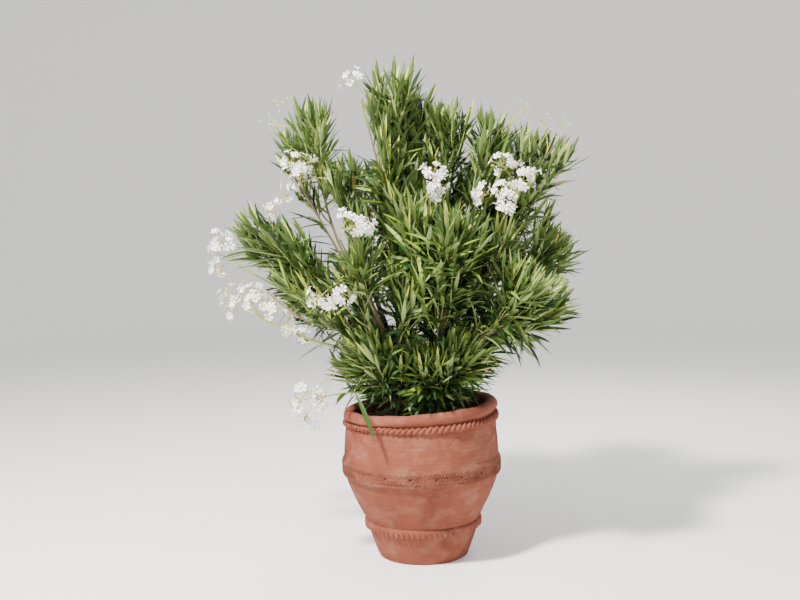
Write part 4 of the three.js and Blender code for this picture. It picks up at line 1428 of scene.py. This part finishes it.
def ring_of(vert: bmesh.types.BMVert, bands: int) -> int:
    """Returns which ring of a unit ball of so many bands a corner is on, from the lowest up."""
    return round((math.pi - math.acos(max(-1, min(1, vert.co.z)))) / math.pi * bands)


def reshape_ball(verts: Iterable[bmesh.types.BMVert], widths: tuple, heights: tuple) -> None:
    """Gives each ring of a unit ball its own radius and height, from the lowest up.

    Args:
        verts: The ball's corners.
        widths: The rings' radii.
        heights: The rings' heights.
    """
    for vert in verts:
        ring = ring_of(vert, len(widths) - 1)
        wide = widths[ring] / max(1e-6, math.hypot(vert.co.x, vert.co.y))
        vert.co = (vert.co.x * wide, vert.co.y * wide, heights[ring])


@dataclass
class Flowers:
    """Gathers five-petalled flowers and closed buds, and makes them.

    The sizes are in millimetres, from the petal's foot to its tip, or from the stalk up.
    """

    petals: int = 5
    petal_reach: tuple = (2.5, 9.0, 16.5, 19.5)
    petal_width: tuple = (0, 4.6, 6.9, 0)
    petal_height: tuple = (11.0, 15.5, 16.6, 15.0)
    petal_thickness: float = 0.5
    tube_width: tuple = (0, 1.6, 2.0, 3.4, 4.6, 0)
    tube_height: tuple = (-0.5, 0, 4.5, 9.0, 13.5, 11.0)
    bud_width: tuple = (0, 1.5, 1.7, 2.1, 3.0, 2.0, 0)
    bud_height: tuple = (-0.5, 0, 3.5, 8, 13, 17, 20)
    calyx_top: float = 4.0
    flowers: list[tuple] = field(default_factory=list)
    buds: list[tuple] = field(default_factory=list)

    def flower_stencil(self) -> Stencil:
        """Makes a flower that opens along +Z from its foot at the origin.

        Returns:
            Its stencil.
        """
        bm = bmesh.new()
        petal = bmesh.ops.create_uvsphere(bm, u_segments=4, v_segments=3, radius=1)["verts"]
        for vert in petal:
            ring = ring_of(vert, 3)
            x, y = vert.co.x, vert.co.y
            out = self.petal_reach[ring]
            broad = self.petal_width[ring] * round(x, 3) / max(1e-6, math.hypot(x, y))
            up = self.petal_height[ring] - (self.petal_thickness if y < -0.1 else 0)
            vert.co = (broad + out * 0.10, out, up + broad * 0.28)
        first = list(bm.faces)
        for k in range(1, self.petals):
            copy = bmesh.ops.duplicate(bm, geom=petal + first)["geom"]
            verts = [item for item in copy if isinstance(item, bmesh.types.BMVert)]
            turn = Matrix.Rotation(TURN * k / self.petals, 3, "Z")
            bmesh.ops.rotate(bm, cent=(0, 0, 0), matrix=turn, verts=verts)
        petals = set(bm.faces)
        tube = bmesh.ops.create_uvsphere(bm, u_segments=5, v_segments=5, radius=1)["verts"]
        reshape_ball(tube, self.tube_width, self.tube_height)
        bmesh.ops.recalc_face_normals(bm, faces=bm.faces)

        def part_of(face: bmesh.types.BMFace) -> int:
            """Tells the flower's parts apart.

            Args:
                face: A face of the flower.

            Returns:
                0 for a petal, 1 for the throat and 2 for the calyx.
            """
            if face in petals:
                return 0
            return 1 if face.calc_center_median().z > self.calyx_top else 2

        return Stencil.of(bm, part_of)

    def bud_stencil(self) -> Stencil:
        """Makes a pointed bud on its calyx along +Z.

        Returns:
            Its stencil.
        """
        bm = bmesh.new()
        bmesh.ops.create_uvsphere(bm, u_segments=5, v_segments=6, radius=1)
        reshape_ball(bm.verts, self.bud_width, self.bud_height)
        return Stencil.of(bm, lambda face: int(face.calc_center_median().z < self.calyx_top - 0.4))

    def placed(self, stencil: Stencil, rows: list[tuple]) -> Array:
        """Places copies of a stencil.

        Args:
            stencil: The shape.
            rows: Each copy's foot, direction, turn and size.

        Returns:
            The copies' points, as copies x points x 3.
        """
        feet, along = (np.array([row[k] for row in rows]) for k in range(2))
        turn, size = (np.array([row[k] for row in rows])[:, None] for k in (2, 3))
        side, other = across_of(along)
        x = other * np.cos(turn) + side * np.sin(turn)
        y = side * np.cos(turn) - other * np.sin(turn)
        axes = np.stack([x, y, along], axis=1)
        return feet[:, None] + np.einsum("pk,nkd->npd", stencil.points, axes) * size[:, :, None]

    def make(self, heap: Heap) -> None:
        """Adds the gathered flowers and buds to a heap.

        Args:
            heap: Takes them.
        """
        for stencil, rows, colours in (
            (self.flower_stencil(), self.flowers, (PETAL, THROAT, CALYX)),
            (self.bud_stencil(), self.buds, (BUD, CALYX)),
        ):
            if rows:
                heap.add(stencil, self.placed(stencil, rows) * MM, np.array([colours] * len(rows)))


class Space:
    """The space that a mass keeps to: a capsule round its axis, cut off between it and its neighbours."""

    def __init__(self, start: Array, tip: Array, spread: float, others: Array = np.empty((0, 3)),
                 slack: float = 0.0) -> None:
        """Lays out the space.

        Args:
            start: Where the mass leaves its limb.
            tip: Its furthest tip.
            spread: The capsule's radius.
            others: The middles of the other masses, one row each.
            slack: How far it may reach into its neighbours' spaces.
        """
        self.along = unit(tip - start)
        self.start, self.tip, self.spread, self.slack = start, tip, spread, slack
        self.end = tip - self.along * spread * 0.5
        middle = Space.middle_of(start, tip)
        self.normals = unit(others - middle)
        self.faces = (self.normals * (others + middle) / 2).sum(-1)

    @staticmethod
    def middle_of(start: Array, tip: Array) -> Array:
        """Returns the middle of a mass, which is nearer to its tip."""
        return start + (tip - start) * 0.55

    def holds(self, points: Array) -> Array:
        """Tests which points are in the space.

        Args:
            points: The points, one row each.

        Returns:
            True for each that is.
        """
        axis = self.end - self.start
        share = np.clip((points - self.start) @ axis / (axis @ axis), 0, 1)
        away = np.linalg.norm(points - self.start - share[:, None] * axis, axis=1)
        beyond = (points - self.tip) @ self.along
        apart = points @ self.normals.T - self.faces
        return (away < self.spread) & (beyond < 0) & (apart.max(axis=1, initial=-np.inf) < self.slack)


def clears_jar(points: Array) -> Array:
    """Tests which points are outside the jar's wall and above its soil.

    Args:
        points: The points, one row each.

    Returns:
        True for each that is.
    """
    rim_top, mouth_radius, jar_radius, room = 612, 260, 332, 5
    out = polar(points)[0]
    above_rim = points[:, 2] > rim_top + Jar.rim_slope * points[:, 0] + room
    over_soil = (out < mouth_radius) & (points[:, 2] > SOIL_TOP + room)
    return above_rim | over_soil | (out > jar_radius)


def far_from(points: Array, stretches: Array, room: float) -> bool:
    """Tests whether all points stay clear of straight stretches of limb.

    Args:
        points: The points, one row each.
        stretches: Rows of start, end and radius.
        room: The free distance from the bark.

    Returns:
        True if they all do.
    """
    start, axis = stretches[None, :, :3], (stretches[:, 3:6] - stretches[:, :3])[None]
    gone = points[:, None] - start
    share = np.clip((gone * axis).sum(-1) / (axis * axis).sum(-1), 0, 1)
    away = np.linalg.norm(gone - axis * share[..., None], axis=-1)
    return bool((away > stretches[None, :, 6] + room).all())


@dataclass
class Growth:
    """What the masses have grown so far, each kind apart."""

    leaves: Leaves = field(default_factory=Leaves)
    twigs: Strands = field(default_factory=lambda: Strands(5, 9))
    stalks: Strands = field(default_factory=lambda: Strands(4, 6))
    flowers: Flowers = field(default_factory=Flowers)


@dataclass
class Shoot:
    """A leafy shoot of a mass."""

    curve: Curve
    thick: float
    thin: float
    bare: float
    tone: int


@dataclass(frozen=True)
class Rank:
    """How a rank of side twigs grows: reach, radius at the foot, span of the parent, and angle."""

    reach: float
    thick: float
    span: tuple[float, float]
    away: float = 29.0


@dataclass
class Mass:
    """Grows one mass: its stem, its twigs, their whorls of leaves, and its blossom."""

    # Lengths are in millimetres, and angles in degrees.
    LEAF_LENGTH = 163.0
    LEAF_WIDTH = 17.5
    WHORL_SPACING = 41.0
    STALK_LENGTH = 125.0
    STALK_RADII = (2.3, 1.4)
    FLOWER_STALK_RADII = (1.0, 0.8)

    # How far a mass may reach into its neighbours' spaces, and how near a limb counts as near.
    SLACK = 100.0
    NEAR = 120.0

    # The free way before a head that shows from the front: its radius and its length.
    HEAD_ROOM = 42.0
    WIDE_HEAD_ROOM = 78.0
    WINDOW = 260.0

    # How far from its tip a mass that ends in blossom has no leaves.
    HEAD_CLEAR = 75.0

    # A mass that leaves part-way up a limb and has its tip below this is low: it is leafy from
    # its foot, and shoots at the foot of its limb fill the jar's mouth.
    LOW_TOP = 1000.0

    # Shares of a shoot's foot without leaves: of stems and of twigs, in low masses and in others.
    STEM_BARE = {True: 0.02, False: 0.14}
    TWIG_BARE = {True: 0.06, False: 0.2}

    # The leafy sleeve of shoots round a limb: radius, reach, and distance between shoots.
    SLEEVE_SPREAD = 185.0
    SLEEVE_REACH = 250.0
    SLEEVE_STEP = 48.0

    # Masses that stay dense, and how much of a mass's length times spread has one twig there.
    THICK = ("leaves_middle", "leaves_low", "leaves_front", "leaves_centre", "leaves_right_foot")
    THICK_AREA = 10500
    LOOSE_AREA = 18500

    # Ranks of twigs. Main, basal and fine ones reach by the mass's spread, skirts by millimetres.
    MAIN = Rank(1.75, 3.4, (0.05, 0.82))
    BASAL = Rank(1.2, 3.0, (0.0, 0.3))
    FINE = Rank(0.95, 2.2, (0.2, 0.7))
    SKIRT = Rank(190, 2.6, (0.06, 0.24), 58)
    BASAL_TWIGS = 6
    SKIRT_TWIGS = 7
    FINE_STEP = 100.0

    # A leaf's angle to its shoot at the shoot's foot, in low masses and in others, and at its tip.
    FOOT_ANGLE = {True: 66.0, False: 59.0}
    TIP_ANGLE = 15.0
    ANGLE_JITTER = 14.0
    TURN_JITTER = 16.0

    # Heads: their flowers' angles and distances, the share of open ones, and how many they have.
    FLOWER_ANGLES = (15.0, 95.0)
    FLOWER_REACH = (16.0, 46.0)
    OPEN_SHARE = 0.78
    FEWEST_FLOWERS, MORE_FLOWERS, BUDS_ONLY = 8, 5, 7
    HIDDEN_HEADS, HIDDEN_FLOWERS = 5, 12

    # What a twig is shortened to, and a leaf's angle and length drawn in to, at each try.
    CUTS = (1, 0.82, 0.66, 0.5, 0.36)
    LEAF_TRIES = 4
    ANGLE_CUT = 0.86
    LENGTH_CUT = 0.97

    # Shares of twigs in their spray's colour, and of leaves in another one, with a dull underside,
    # or yellowed; and how many of the leaf colours sprays have.
    SAME_SPRAY = 0.6
    OTHER_TONE = 0.3
    DULL_UNDER = 0.72
    YELLOWED_SHARE = 0.003
    SPRAY_TONES = 5

    name: str
    limb: Limb
    at: float | None
    tip: Array
    spread: float
    ends: Ends
    seed: int

    def __post_init__(self) -> None:
        """Lays out the stem as the solid's rule does, and the sleeve round the limb."""
        self.random = Seeded(self.seed)
        stop = self.LEAF_LENGTH * 0.86 if self.ends is Ends.LEAVES else self.STALK_LENGTH
        share = 1.0 if self.at is None else self.at
        start, along = self.limb.curve.point(share), self.limb.curve.tangent(share)
        axis = self.tip - start
        if self.at is not None:
            along = swung(along, axis)
        end = start + axis * (1 - stop / np.linalg.norm(axis))
        bend = start + along * np.linalg.norm(end - start) * 0.4
        self.curve = Curve(start, bend, end)
        self.start = start
        self.stem = Limb(self.curve, *STEM_RADII)
        self.is_low = self.at is not None and self.tip[2] < self.LOW_TOP
        self.is_blossom = self.name.startswith("blossom")
        self.sleeve_span = (0.02, self.at + 0.12) if self.is_low else (0.4 * share, share)
        low, high = (self.limb.curve.point(u) for u in self.sleeve_span)
        self.sleeve = Space(low, high + unit(high - low) * self.SLEEVE_SPREAD, self.SLEEVE_SPREAD)
        self.leafless = np.linalg.norm(axis) * 0.5 if self.is_blossom else self.HEAD_CLEAR

    def settle(self, others: list["Mass"], limbs: Array) -> None:
        """Takes in the neighbours, and what the mass grows clear of where that comes near.

        Args:
            others: The other masses.
            limbs: What it may have to grow clear of, as rows of start, end and radius.
        """
        middles = np.array([Space.middle_of(mass.start, mass.tip) for mass in others])
        self.space = Space(self.start, self.tip, self.spread, middles, self.SLACK)
        middle, reach = (self.start + self.tip) / 2, np.linalg.norm(self.tip - self.start) / 2
        away = np.linalg.norm((limbs[:, :3] + limbs[:, 3:6]) / 2 - middle, axis=1)
        self.obstacles = limbs[away < reach + self.spread + self.NEAR]

    def fits(self, points: Array, room: float) -> bool:
        """Tests whether points keep to the mass's space and sleeve, clear of jar, limbs and heads.

        Args:
            points: The points, one row each.
            room: The free distance from the bark.

        Returns:
            True if all of them do.
        """
        is_held = self.space.holds(points) | self.sleeve.holds(points)
        if not (is_held.all() and clears_jar(points).all()):
            return False
        beyond = (points - self.tip) @ self.space.along
        if self.ends is Ends.BLOSSOM and beyond.max() > -self.leafless:
            return False
        return far_from(points, self.obstacles, room)

    def any_tone(self) -> int:
        """Returns one of the leaf colours of the sprays."""
        return int(self.random.share() * self.SPRAY_TONES)

    def side_shoots(self, parent: Curve, count: int, rank: Rank, tone: int,
                    scale: float = 1.0) -> list[Shoot]:
        """Grows side twigs at the golden angle, each cut shorter until it fits, or left out.

        Args:
            parent: The shoot that they leave.
            count: How many are tried.
            rank: How they grow.
            tone: The leaf colour of the spray.
            scale: What the rank's reach is multiplied by.

        Returns:
            The twigs.
        """
        turn = self.random.share() * 360
        grown = []
        for k in range(count):
            u = mix(*rank.span, (k + 0.5) / count)
            start, along = parent.point(u), parent.tangent(u)
            out = leaning(along, rank.away + self.random.jitter(10), turn + k * GOLDEN_ANGLE)
            lift = unit(along + UP * 0.5 + out * max(0.0, rank.away - 40) / 20)
            size = scale * rank.reach * mix(1.15, 0.75, u) * (1 + self.random.jitter(0.28))
            for cut in self.CUTS:
                span = size * cut
                end = start + out * span * 0.55 + lift * span * 0.68
                curve = Curve(start, start + out * span * 0.45, end)
                leaf_tip = end + curve.tangent(1) * self.LEAF_LENGTH * 0.7
                if self.fits(np.array([*curve.points([0.3, 0.6, 0.85, 1]), leaf_tip]), 4):
                    spray = tone if self.random.share() < self.SAME_SPRAY else self.any_tone()
                    thin = max(1.3, rank.thick * 0.55)
                    grown.append(Shoot(curve, rank.thick, thin, self.TWIG_BARE[self.is_low], spray))
                    break
        return grown

    def add_leaf(self, growth: Growth, shoot: Shoot, u: float, turn: float, out: float, size: float,
                 is_young: bool) -> None:
        """Adds one leaf, drawn in a little at each try until it fits, or leaves it out.

        Args:
            growth: Takes the leaf.
            shoot: The shoot that bears it.
            u: Where on the shoot.
            turn: Its turn round the shoot, in degrees.
            out: Its angle to the shoot, in degrees.
            size: Its share of the full length.
            is_young: True for the small pale leaves of a growing tip.
        """
        root, along = shoot.curve.point(u), shoot.curve.tangent(u)
        droop = max(0.0, (out - 22) / 55) * self.random.between(0.3, 1.0) + self.random.jitter(0.12)
        fold, twist = self.random.between(0.1, 0.45), self.random.jitter(0.5)
        for attempt in range(self.LEAF_TRIES):
            way = leaning(along, out * self.ANGLE_CUT**attempt, turn + 9 * attempt)
            length = self.LEAF_LENGTH * size * self.LENGTH_CUT**attempt
            down = unit(along - way * (along @ way))
            tip = root + way * length - down * length * droop / 2
            middle = root + way * length * 0.5 - down * length * droop * 0.13
            if not self.fits(np.array([root + (middle - root) * 0.6, middle, tip]), 3.5):
                continue
            tone = YOUNG if is_young else shoot.tone
            if not is_young and self.random.share() < self.OTHER_TONE:
                tone = self.any_tone()
            under = UNDER if self.random.share() < self.DULL_UNDER else UNDER_PALE
            if self.random.share() < self.YELLOWED_SHARE:
                tone = under = YELLOWED
            width = self.LEAF_WIDTH * (0.55 + 0.45 * size) * self.random.between(0.85, 1.1)
            growth.leaves.rows.append(Leaf(root, way, along, length, width, droop, fold, twist, tone, under))
            return

    def add_whorls(self, growth: Growth, shoot: Shoot) -> None:
        """Adds whorls of three leaves along a shoot, closing up towards its tip.

        Args:
            growth: Takes the leaves.
            shoot: The shoot.
        """
        leafy = shoot.curve.length * (1 - shoot.bare)
        count = max(2, round(leafy / self.WHORL_SPACING))
        turn = self.random.share() * 360
        for k in range(count + 1):
            share = k / count
            u = mix(shoot.bare, 1 - 1.5 / shoot.curve.length, share**0.85)
            angle = mix(self.FOOT_ANGLE[self.is_low], self.TIP_ANGLE, share)
            for leaf in range(3):
                is_young = share > 0.97 and self.random.share() < 0.6
                size = mix(1.0, 0.78, share**3) * self.random.between(0.72, 1.14)
                here = max(0.02, u - leaf * 3 / shoot.curve.length)
                around = turn + 60 * k + 120 * leaf + self.random.jitter(self.TURN_JITTER)
                out = angle + self.random.jitter(self.ANGLE_JITTER)
                self.add_leaf(growth, shoot, here, around, out, size, is_young)

    def add_head(self, growth: Growth, curve: Curve, place: Array, is_open: bool, flowers: int) -> None:
        """Adds a loose head of blossom or of buds, on a long stalk that grows on from a shoot.

        Args:
            growth: Takes the stalks and the flowers.
            curve: The shoot that it ends.
            place: The middle of the head.
            is_open: True for flowers, False for buds.
            flowers: How many flowers and buds it has.
        """
        start, along = curve.point(1), curve.tangent(1)
        gone = place - start
        span = np.linalg.norm(gone)
        rise, bow = start + along * span * 0.3 + UP * span * 0.1, start + gone * 0.75 + UP * 6
        stalk = Curve(start, rise, bow, place - gone / span * 16)
        growth.stalks.add(stalk, *self.STALK_RADII, STALK)
        heading = unit(stalk.tangent(1) + unit(gone))
        for k in range(flowers):
            out = self.random.between(*self.FLOWER_ANGLES)
            way = leaning(heading, out, k * GOLDEN_ANGLE + self.random.jitter(25))
            way = unit(way - UP * self.random.between(-0.1, 0.3))
            base = stalk.point(1 - min(0.4, 7 * (k // 3) / stalk.length))
            foot = base + way * self.random.between(*self.FLOWER_REACH)
            if not clears_jar(foot[None]).all():
                continue
            arch = Curve(base, (base + foot) / 2 + UP * 2, foot)
            growth.stalks.add(arch, *self.FLOWER_STALK_RADII, STALK)
            turn = self.random.share() * TURN
            if is_open and self.random.share() < self.OPEN_SHARE:
                face = unit(way + unit(gone) * 0.3)
                growth.flowers.flowers.append((foot, face, turn, self.random.between(0.84, 1.06)))
            else:
                growth.flowers.buds.append((foot, way, turn, self.random.between(0.5, 1.0)))

    def add_heads(self, growth: Growth, shoots: list[Shoot]) -> None:
        """Adds the mass's heads, each on the shoot whose tip is a stalk's length from it.

        Args:
            growth: Takes the stalks and the flowers.
            shoots: The mass's shoots.
        """
        is_open = self.name in HEADS and self.ends is not Ends.BUDS
        ends = np.array([shoot.curve.point(1) for shoot in shoots])
        for place in HEADS.get(self.name, []):
            place = np.array(place, float)
            away = np.linalg.norm(ends - place, axis=1)
            shoot = shoots[int(np.argmin(np.abs(away - self.STALK_LENGTH)))]
            flowers = self.BUDS_ONLY
            if is_open:
                flowers = self.FEWEST_FLOWERS + int(self.random.share() * self.MORE_FLOWERS)
            self.add_head(growth, shoot.curve, place, is_open, flowers)
        if self.name not in HEADS and self.ends is not Ends.LEAVES:
            for shoot in shoots[:self.HIDDEN_HEADS]:
                tip, along = shoot.curve.point(1), shoot.curve.tangent(1)
                place = tip + unit(along + UP * 0.1) * self.STALK_LENGTH * self.random.between(0.7, 1.0)
                self.add_head(growth, shoot.curve, place, self.ends is Ends.BLOSSOM, self.HIDDEN_FLOWERS)

    def grow(self, growth: Growth) -> None:
        """Grows the whole mass.

        Args:
            growth: Takes all that the mass grows.
        """
        tone = self.any_tone()
        stem = Shoot(self.curve, self.stem.thick, self.stem.thin, self.STEM_BARE[self.is_low], tone)
        area = self.THICK_AREA if self.name.startswith(self.THICK) else self.LOOSE_AREA
        count = max(6, round(self.curve.length * self.spread / area))
        twigs = self.side_shoots(self.curve, count, self.MAIN, tone, self.spread)
        if self.is_low:
            twigs += self.side_shoots(self.curve, self.BASAL_TWIGS, self.BASAL, tone, self.spread)
            twigs += self.side_shoots(self.limb.curve, self.SKIRT_TWIGS, self.SKIRT, tone)
        if self.is_low or self.at is None:
            low, high = self.sleeve_span
            few = max(4, round(self.limb.curve.length * (high - low) / self.SLEEVE_STEP))
            rank = Rank(self.SLEEVE_REACH, 3.0, self.sleeve_span)
            twigs += self.side_shoots(self.limb.curve, few, rank, tone)
        finer = []
        for twig in twigs:
            few = max(1, round(twig.curve.length / self.FINE_STEP))
            finer += self.side_shoots(twig.curve, few, self.FINE, twig.tone, self.spread)
        shoots = [stem, *twigs, *finer]
        woods = [TWIG_BARK] + [TWIG_OLIVE] * len(twigs) + [TWIG_GREEN] * len(finer)
        for shoot, wood in zip(shoots, woods):
            growth.twigs.add(shoot.curve, shoot.thick, shoot.thin, TWIG_GREEN if self.is_blossom else wood)
            self.add_whorls(growth, shoot)
        self.add_heads(growth, shoots)


@dataclass
class Crown:
    """All the masses of leaves and blossom, each kind joined into a few pieces."""

    wood: Wood
    regions: tuple = (
        ("top", ("leaves_top", "leaves_upper")),
        ("left", ("leaves_left", "blossom_left", "blossom_foot", "leaves_middle_left", "leaves_low_left")),
        ("right", ("leaves_right", "blossom_right", "leaves_middle_right", "leaves_low_right")),
        ("front", ("leaves_front", "leaves_centre", "leaves_middle", "leaves_low_front")),
        ("back", ("leaves_back", "leaves_low_back")),
    )
    # The leaf that hangs over the rim: its foot, its way and which way its upper side faces.
    hanging_leaf: tuple = ((-252.0, -272.0, 706.0), (0.36, -0.5, -0.62), (0.1, -0.7, 0.7))
    # How far the gaps to the sky reach to the front and back, and in how long stretches.
    gap_reach: int = 400
    gap_step: int = 100

    def plan(self) -> list[Mass]:
        """Lays out the masses, each with its seed, its space and what it keeps clear of.

        Returns:
            The masses.
        """
        masses = []
        for k, (name, (on, at, tip, spread, ends)) in enumerate(MASSES.items()):
            seed = FIRST_SEED + SEED_STEP * k
            masses.append(Mass(name, self.wood.limbs[on], at, np.array(tip, float), spread, ends, seed))
        limbs = np.concatenate([limb.stretches(8) for limb in self.wood.limbs.values()])
        open_ways = np.array([*self.windows(), *self.gaps()], float)
        for mass in masses:
            others = [other for other in masses if other is not mass]
            stems = np.concatenate([other.stem.stretches(5) for other in others])
            mass.settle(others, np.concatenate([limbs, stems, open_ways]))
        return masses

    @staticmethod
    def windows() -> Iterable[tuple]:
        """Lays out the free ways before the heads that show from the front.

        Yields:
            Each one's start, end and radius.
        """
        for name, places in HEADS.items():
            room = Mass.WIDE_HEAD_ROOM if name == "blossom_left_low" else Mass.HEAD_ROOM
            for x, y, z in places:
                yield x, y, z, x, y - Mass.WINDOW, z, room

    def gaps(self) -> Iterable[tuple]:
        """Lays out the gaps through the crown, in short stretches.

        Yields:
            Each one's start, end and radius.
        """
        for x, z, radius in SKY:
            for y in range(-self.gap_reach, self.gap_reach, self.gap_step):
                yield x, y, z, x, y + self.gap_step, z, radius

    def hang_leaf(self, growth: Growth) -> None:
        """Adds the long leaf that hangs over the rim, on a twig from the shoot nearest to it.

        Args:
            growth: Takes the leaf and its twig.
        """
        root, way, facing = (np.array(row) for row in self.hanging_leaf)
        starts = [curve.point(0.8) for curve, *_ in growth.twigs.rows]
        start = min(starts, key=lambda point: np.linalg.norm(point - root))
        growth.twigs.add(Curve(start, (start + root) / 2 + UP * 25, root), 1.8, 1.3, TWIG_GREEN)
        growth.leaves.rows.append(Leaf(
            root, unit(way), unit(facing), length=214, width=17, droop=0.6, fold=0.35, twist=0.25,
            upper=MID, under=UNDER,
        ))

    def build(self) -> None:
        """Grows every mass, region by region, and dresses the pieces."""
        leaf, twig, blossom = (
            [tone.material() for tone in tones] for tones in (LEAF_TONES, TWIG_TONES, BLOSSOM_TONES)
        )
        waiting = self.plan()
        stems, heads = Heap(), Heap()
        stem_nodes, head_nodes = [], []
        for region, beginnings in self.regions:
            members = [mass for mass in waiting if mass.name.startswith(beginnings)]
            waiting = [mass for mass in waiting if mass not in members]
            growth = Growth()
            for mass in members:
                mass.grow(growth)
            names = [mass.name for mass in members]
            if region == "left":
                self.hang_leaf(growth)
            blades = Heap()
            growth.leaves.make(blades)
            show(blades.mesh(f"leaves_{region}_sprays"), leaf, names)
            growth.twigs.make(stems)
            stem_nodes += names
            growth.stalks.make(heads)
            growth.flowers.make(heads)
            head_nodes += [
                mass.name for mass in members if mass.ends is not Ends.LEAVES or mass.name in HEADS
            ]
            leaf_count, flower_count = len(growth.leaves.rows), len(growth.flowers.flowers)
            log.info("%s: %d leaves, %d flowers", region, leaf_count, flower_count)
        show(stems.mesh("twigs"), twig, stem_nodes)
        show(heads.mesh("blossom"), blossom, head_nodes)


# Studio


@dataclass
class Studio:
    """A pale floor, soft lights, and the camera at the photo's viewing angle, in metres."""

    camera_place: tuple = (-0.071, -3.8, 1.25)
    camera_pitch: float = 3.33
    camera_roll: float = -1.5
    lens: float = 42.525
    sensor_width: float = 36.0
    floor_radius: float = 9.0
    wall_radius: float = 14.0
    wall_height: float = 9.0
    sky_colour: tuple = (0.86, 0.88, 0.92, 1)
    sky_strength: float = 0.9
    # Each lamp's name, place, the point that it faces, size, power in watts and colour.
    lamps: tuple = (
        ("key", (-2.2, -2.5, 5.0), (0, 0, 0.9), 0.6, 1050, (1.0, 0.97, 0.91)),
        ("fill", (3.4, -2.4, 2.2), (0, 0, 0.9), 3.0, 40, (0.93, 0.96, 1.0)),
        ("rim", (1.8, 3.2, 3.6), (0, 0, 1.1), 2.0, 120, (1.0, 0.98, 0.95)),
    )

    def lay_floor(self) -> None:
        """Adds the floor, which bends up into a wall far away."""
        bend = self.wall_radius - self.floor_radius
        arc = [math.radians(angle) for angle in np.linspace(-90, 0, 25)]
        section = [(0.0, 0.0), (self.floor_radius * 0.5, 0.0)]
        section += [(self.floor_radius + bend * math.cos(a), bend * (1 + math.sin(a))) for a in arc]
        section += [(self.wall_radius, self.wall_height)]
        outline = [(radius / MM, height / MM) for radius, height in section]
        floor = put("floor", mesh_of(turned(outline, 96, False), "floor"))
        floor.data.materials.append(Plain("floor", (243, 242, 240), 0.9, 0.1).material())

    def hang_lamps(self) -> None:
        """Adds the square soft lamps."""
        for name, place, towards, size, power, colour in self.lamps:
            light = bpy.data.lights.new(name, "AREA")
            light.shape = "SQUARE"
            light.size, light.energy, light.color = size, power, colour
            lamp = put(name, light)
            lamp.location = place
            lamp.rotation_euler = (Vector(towards) - Vector(place)).to_track_quat("-Z", "Y").to_euler()

    def light_sky(self) -> None:
        """Adds the even light from all around."""
        world = bpy.data.worlds.new("studio")
        world.use_nodes = True
        sky = world.node_tree.nodes["Background"]
        sky.inputs["Color"].default_value = self.sky_colour
        sky.inputs["Strength"].default_value = self.sky_strength
        bpy.context.scene.world = world

    def set_camera(self) -> None:
        """Adds the camera."""
        camera = bpy.data.cameras.new("camera")
        camera.lens, camera.sensor_width = self.lens, self.sensor_width
        eye = put("camera", camera)
        eye.location = self.camera_place
        pitch = Matrix.Rotation(math.radians(90 - self.camera_pitch), 3, "X")
        roll = Matrix.Rotation(math.radians(self.camera_roll), 3, "Z")
        eye.rotation_euler = (pitch @ roll).to_euler()
        bpy.context.scene.camera = eye

    def build(self) -> None:
        """Sets the stage."""
        self.lay_floor()
        self.hang_lamps()
        self.light_sky()
        self.set_camera()


def main() -> None:
    """Builds the potted oleander and its studio."""
    logging.basicConfig(level=logging.INFO, format="%(message)s")
    Studio().build()
    Jar().build()
    Soil().build()
    wood = Wood()
    wood.build()
    Crown(wood).build()


if __name__ == "__main__":
    main()
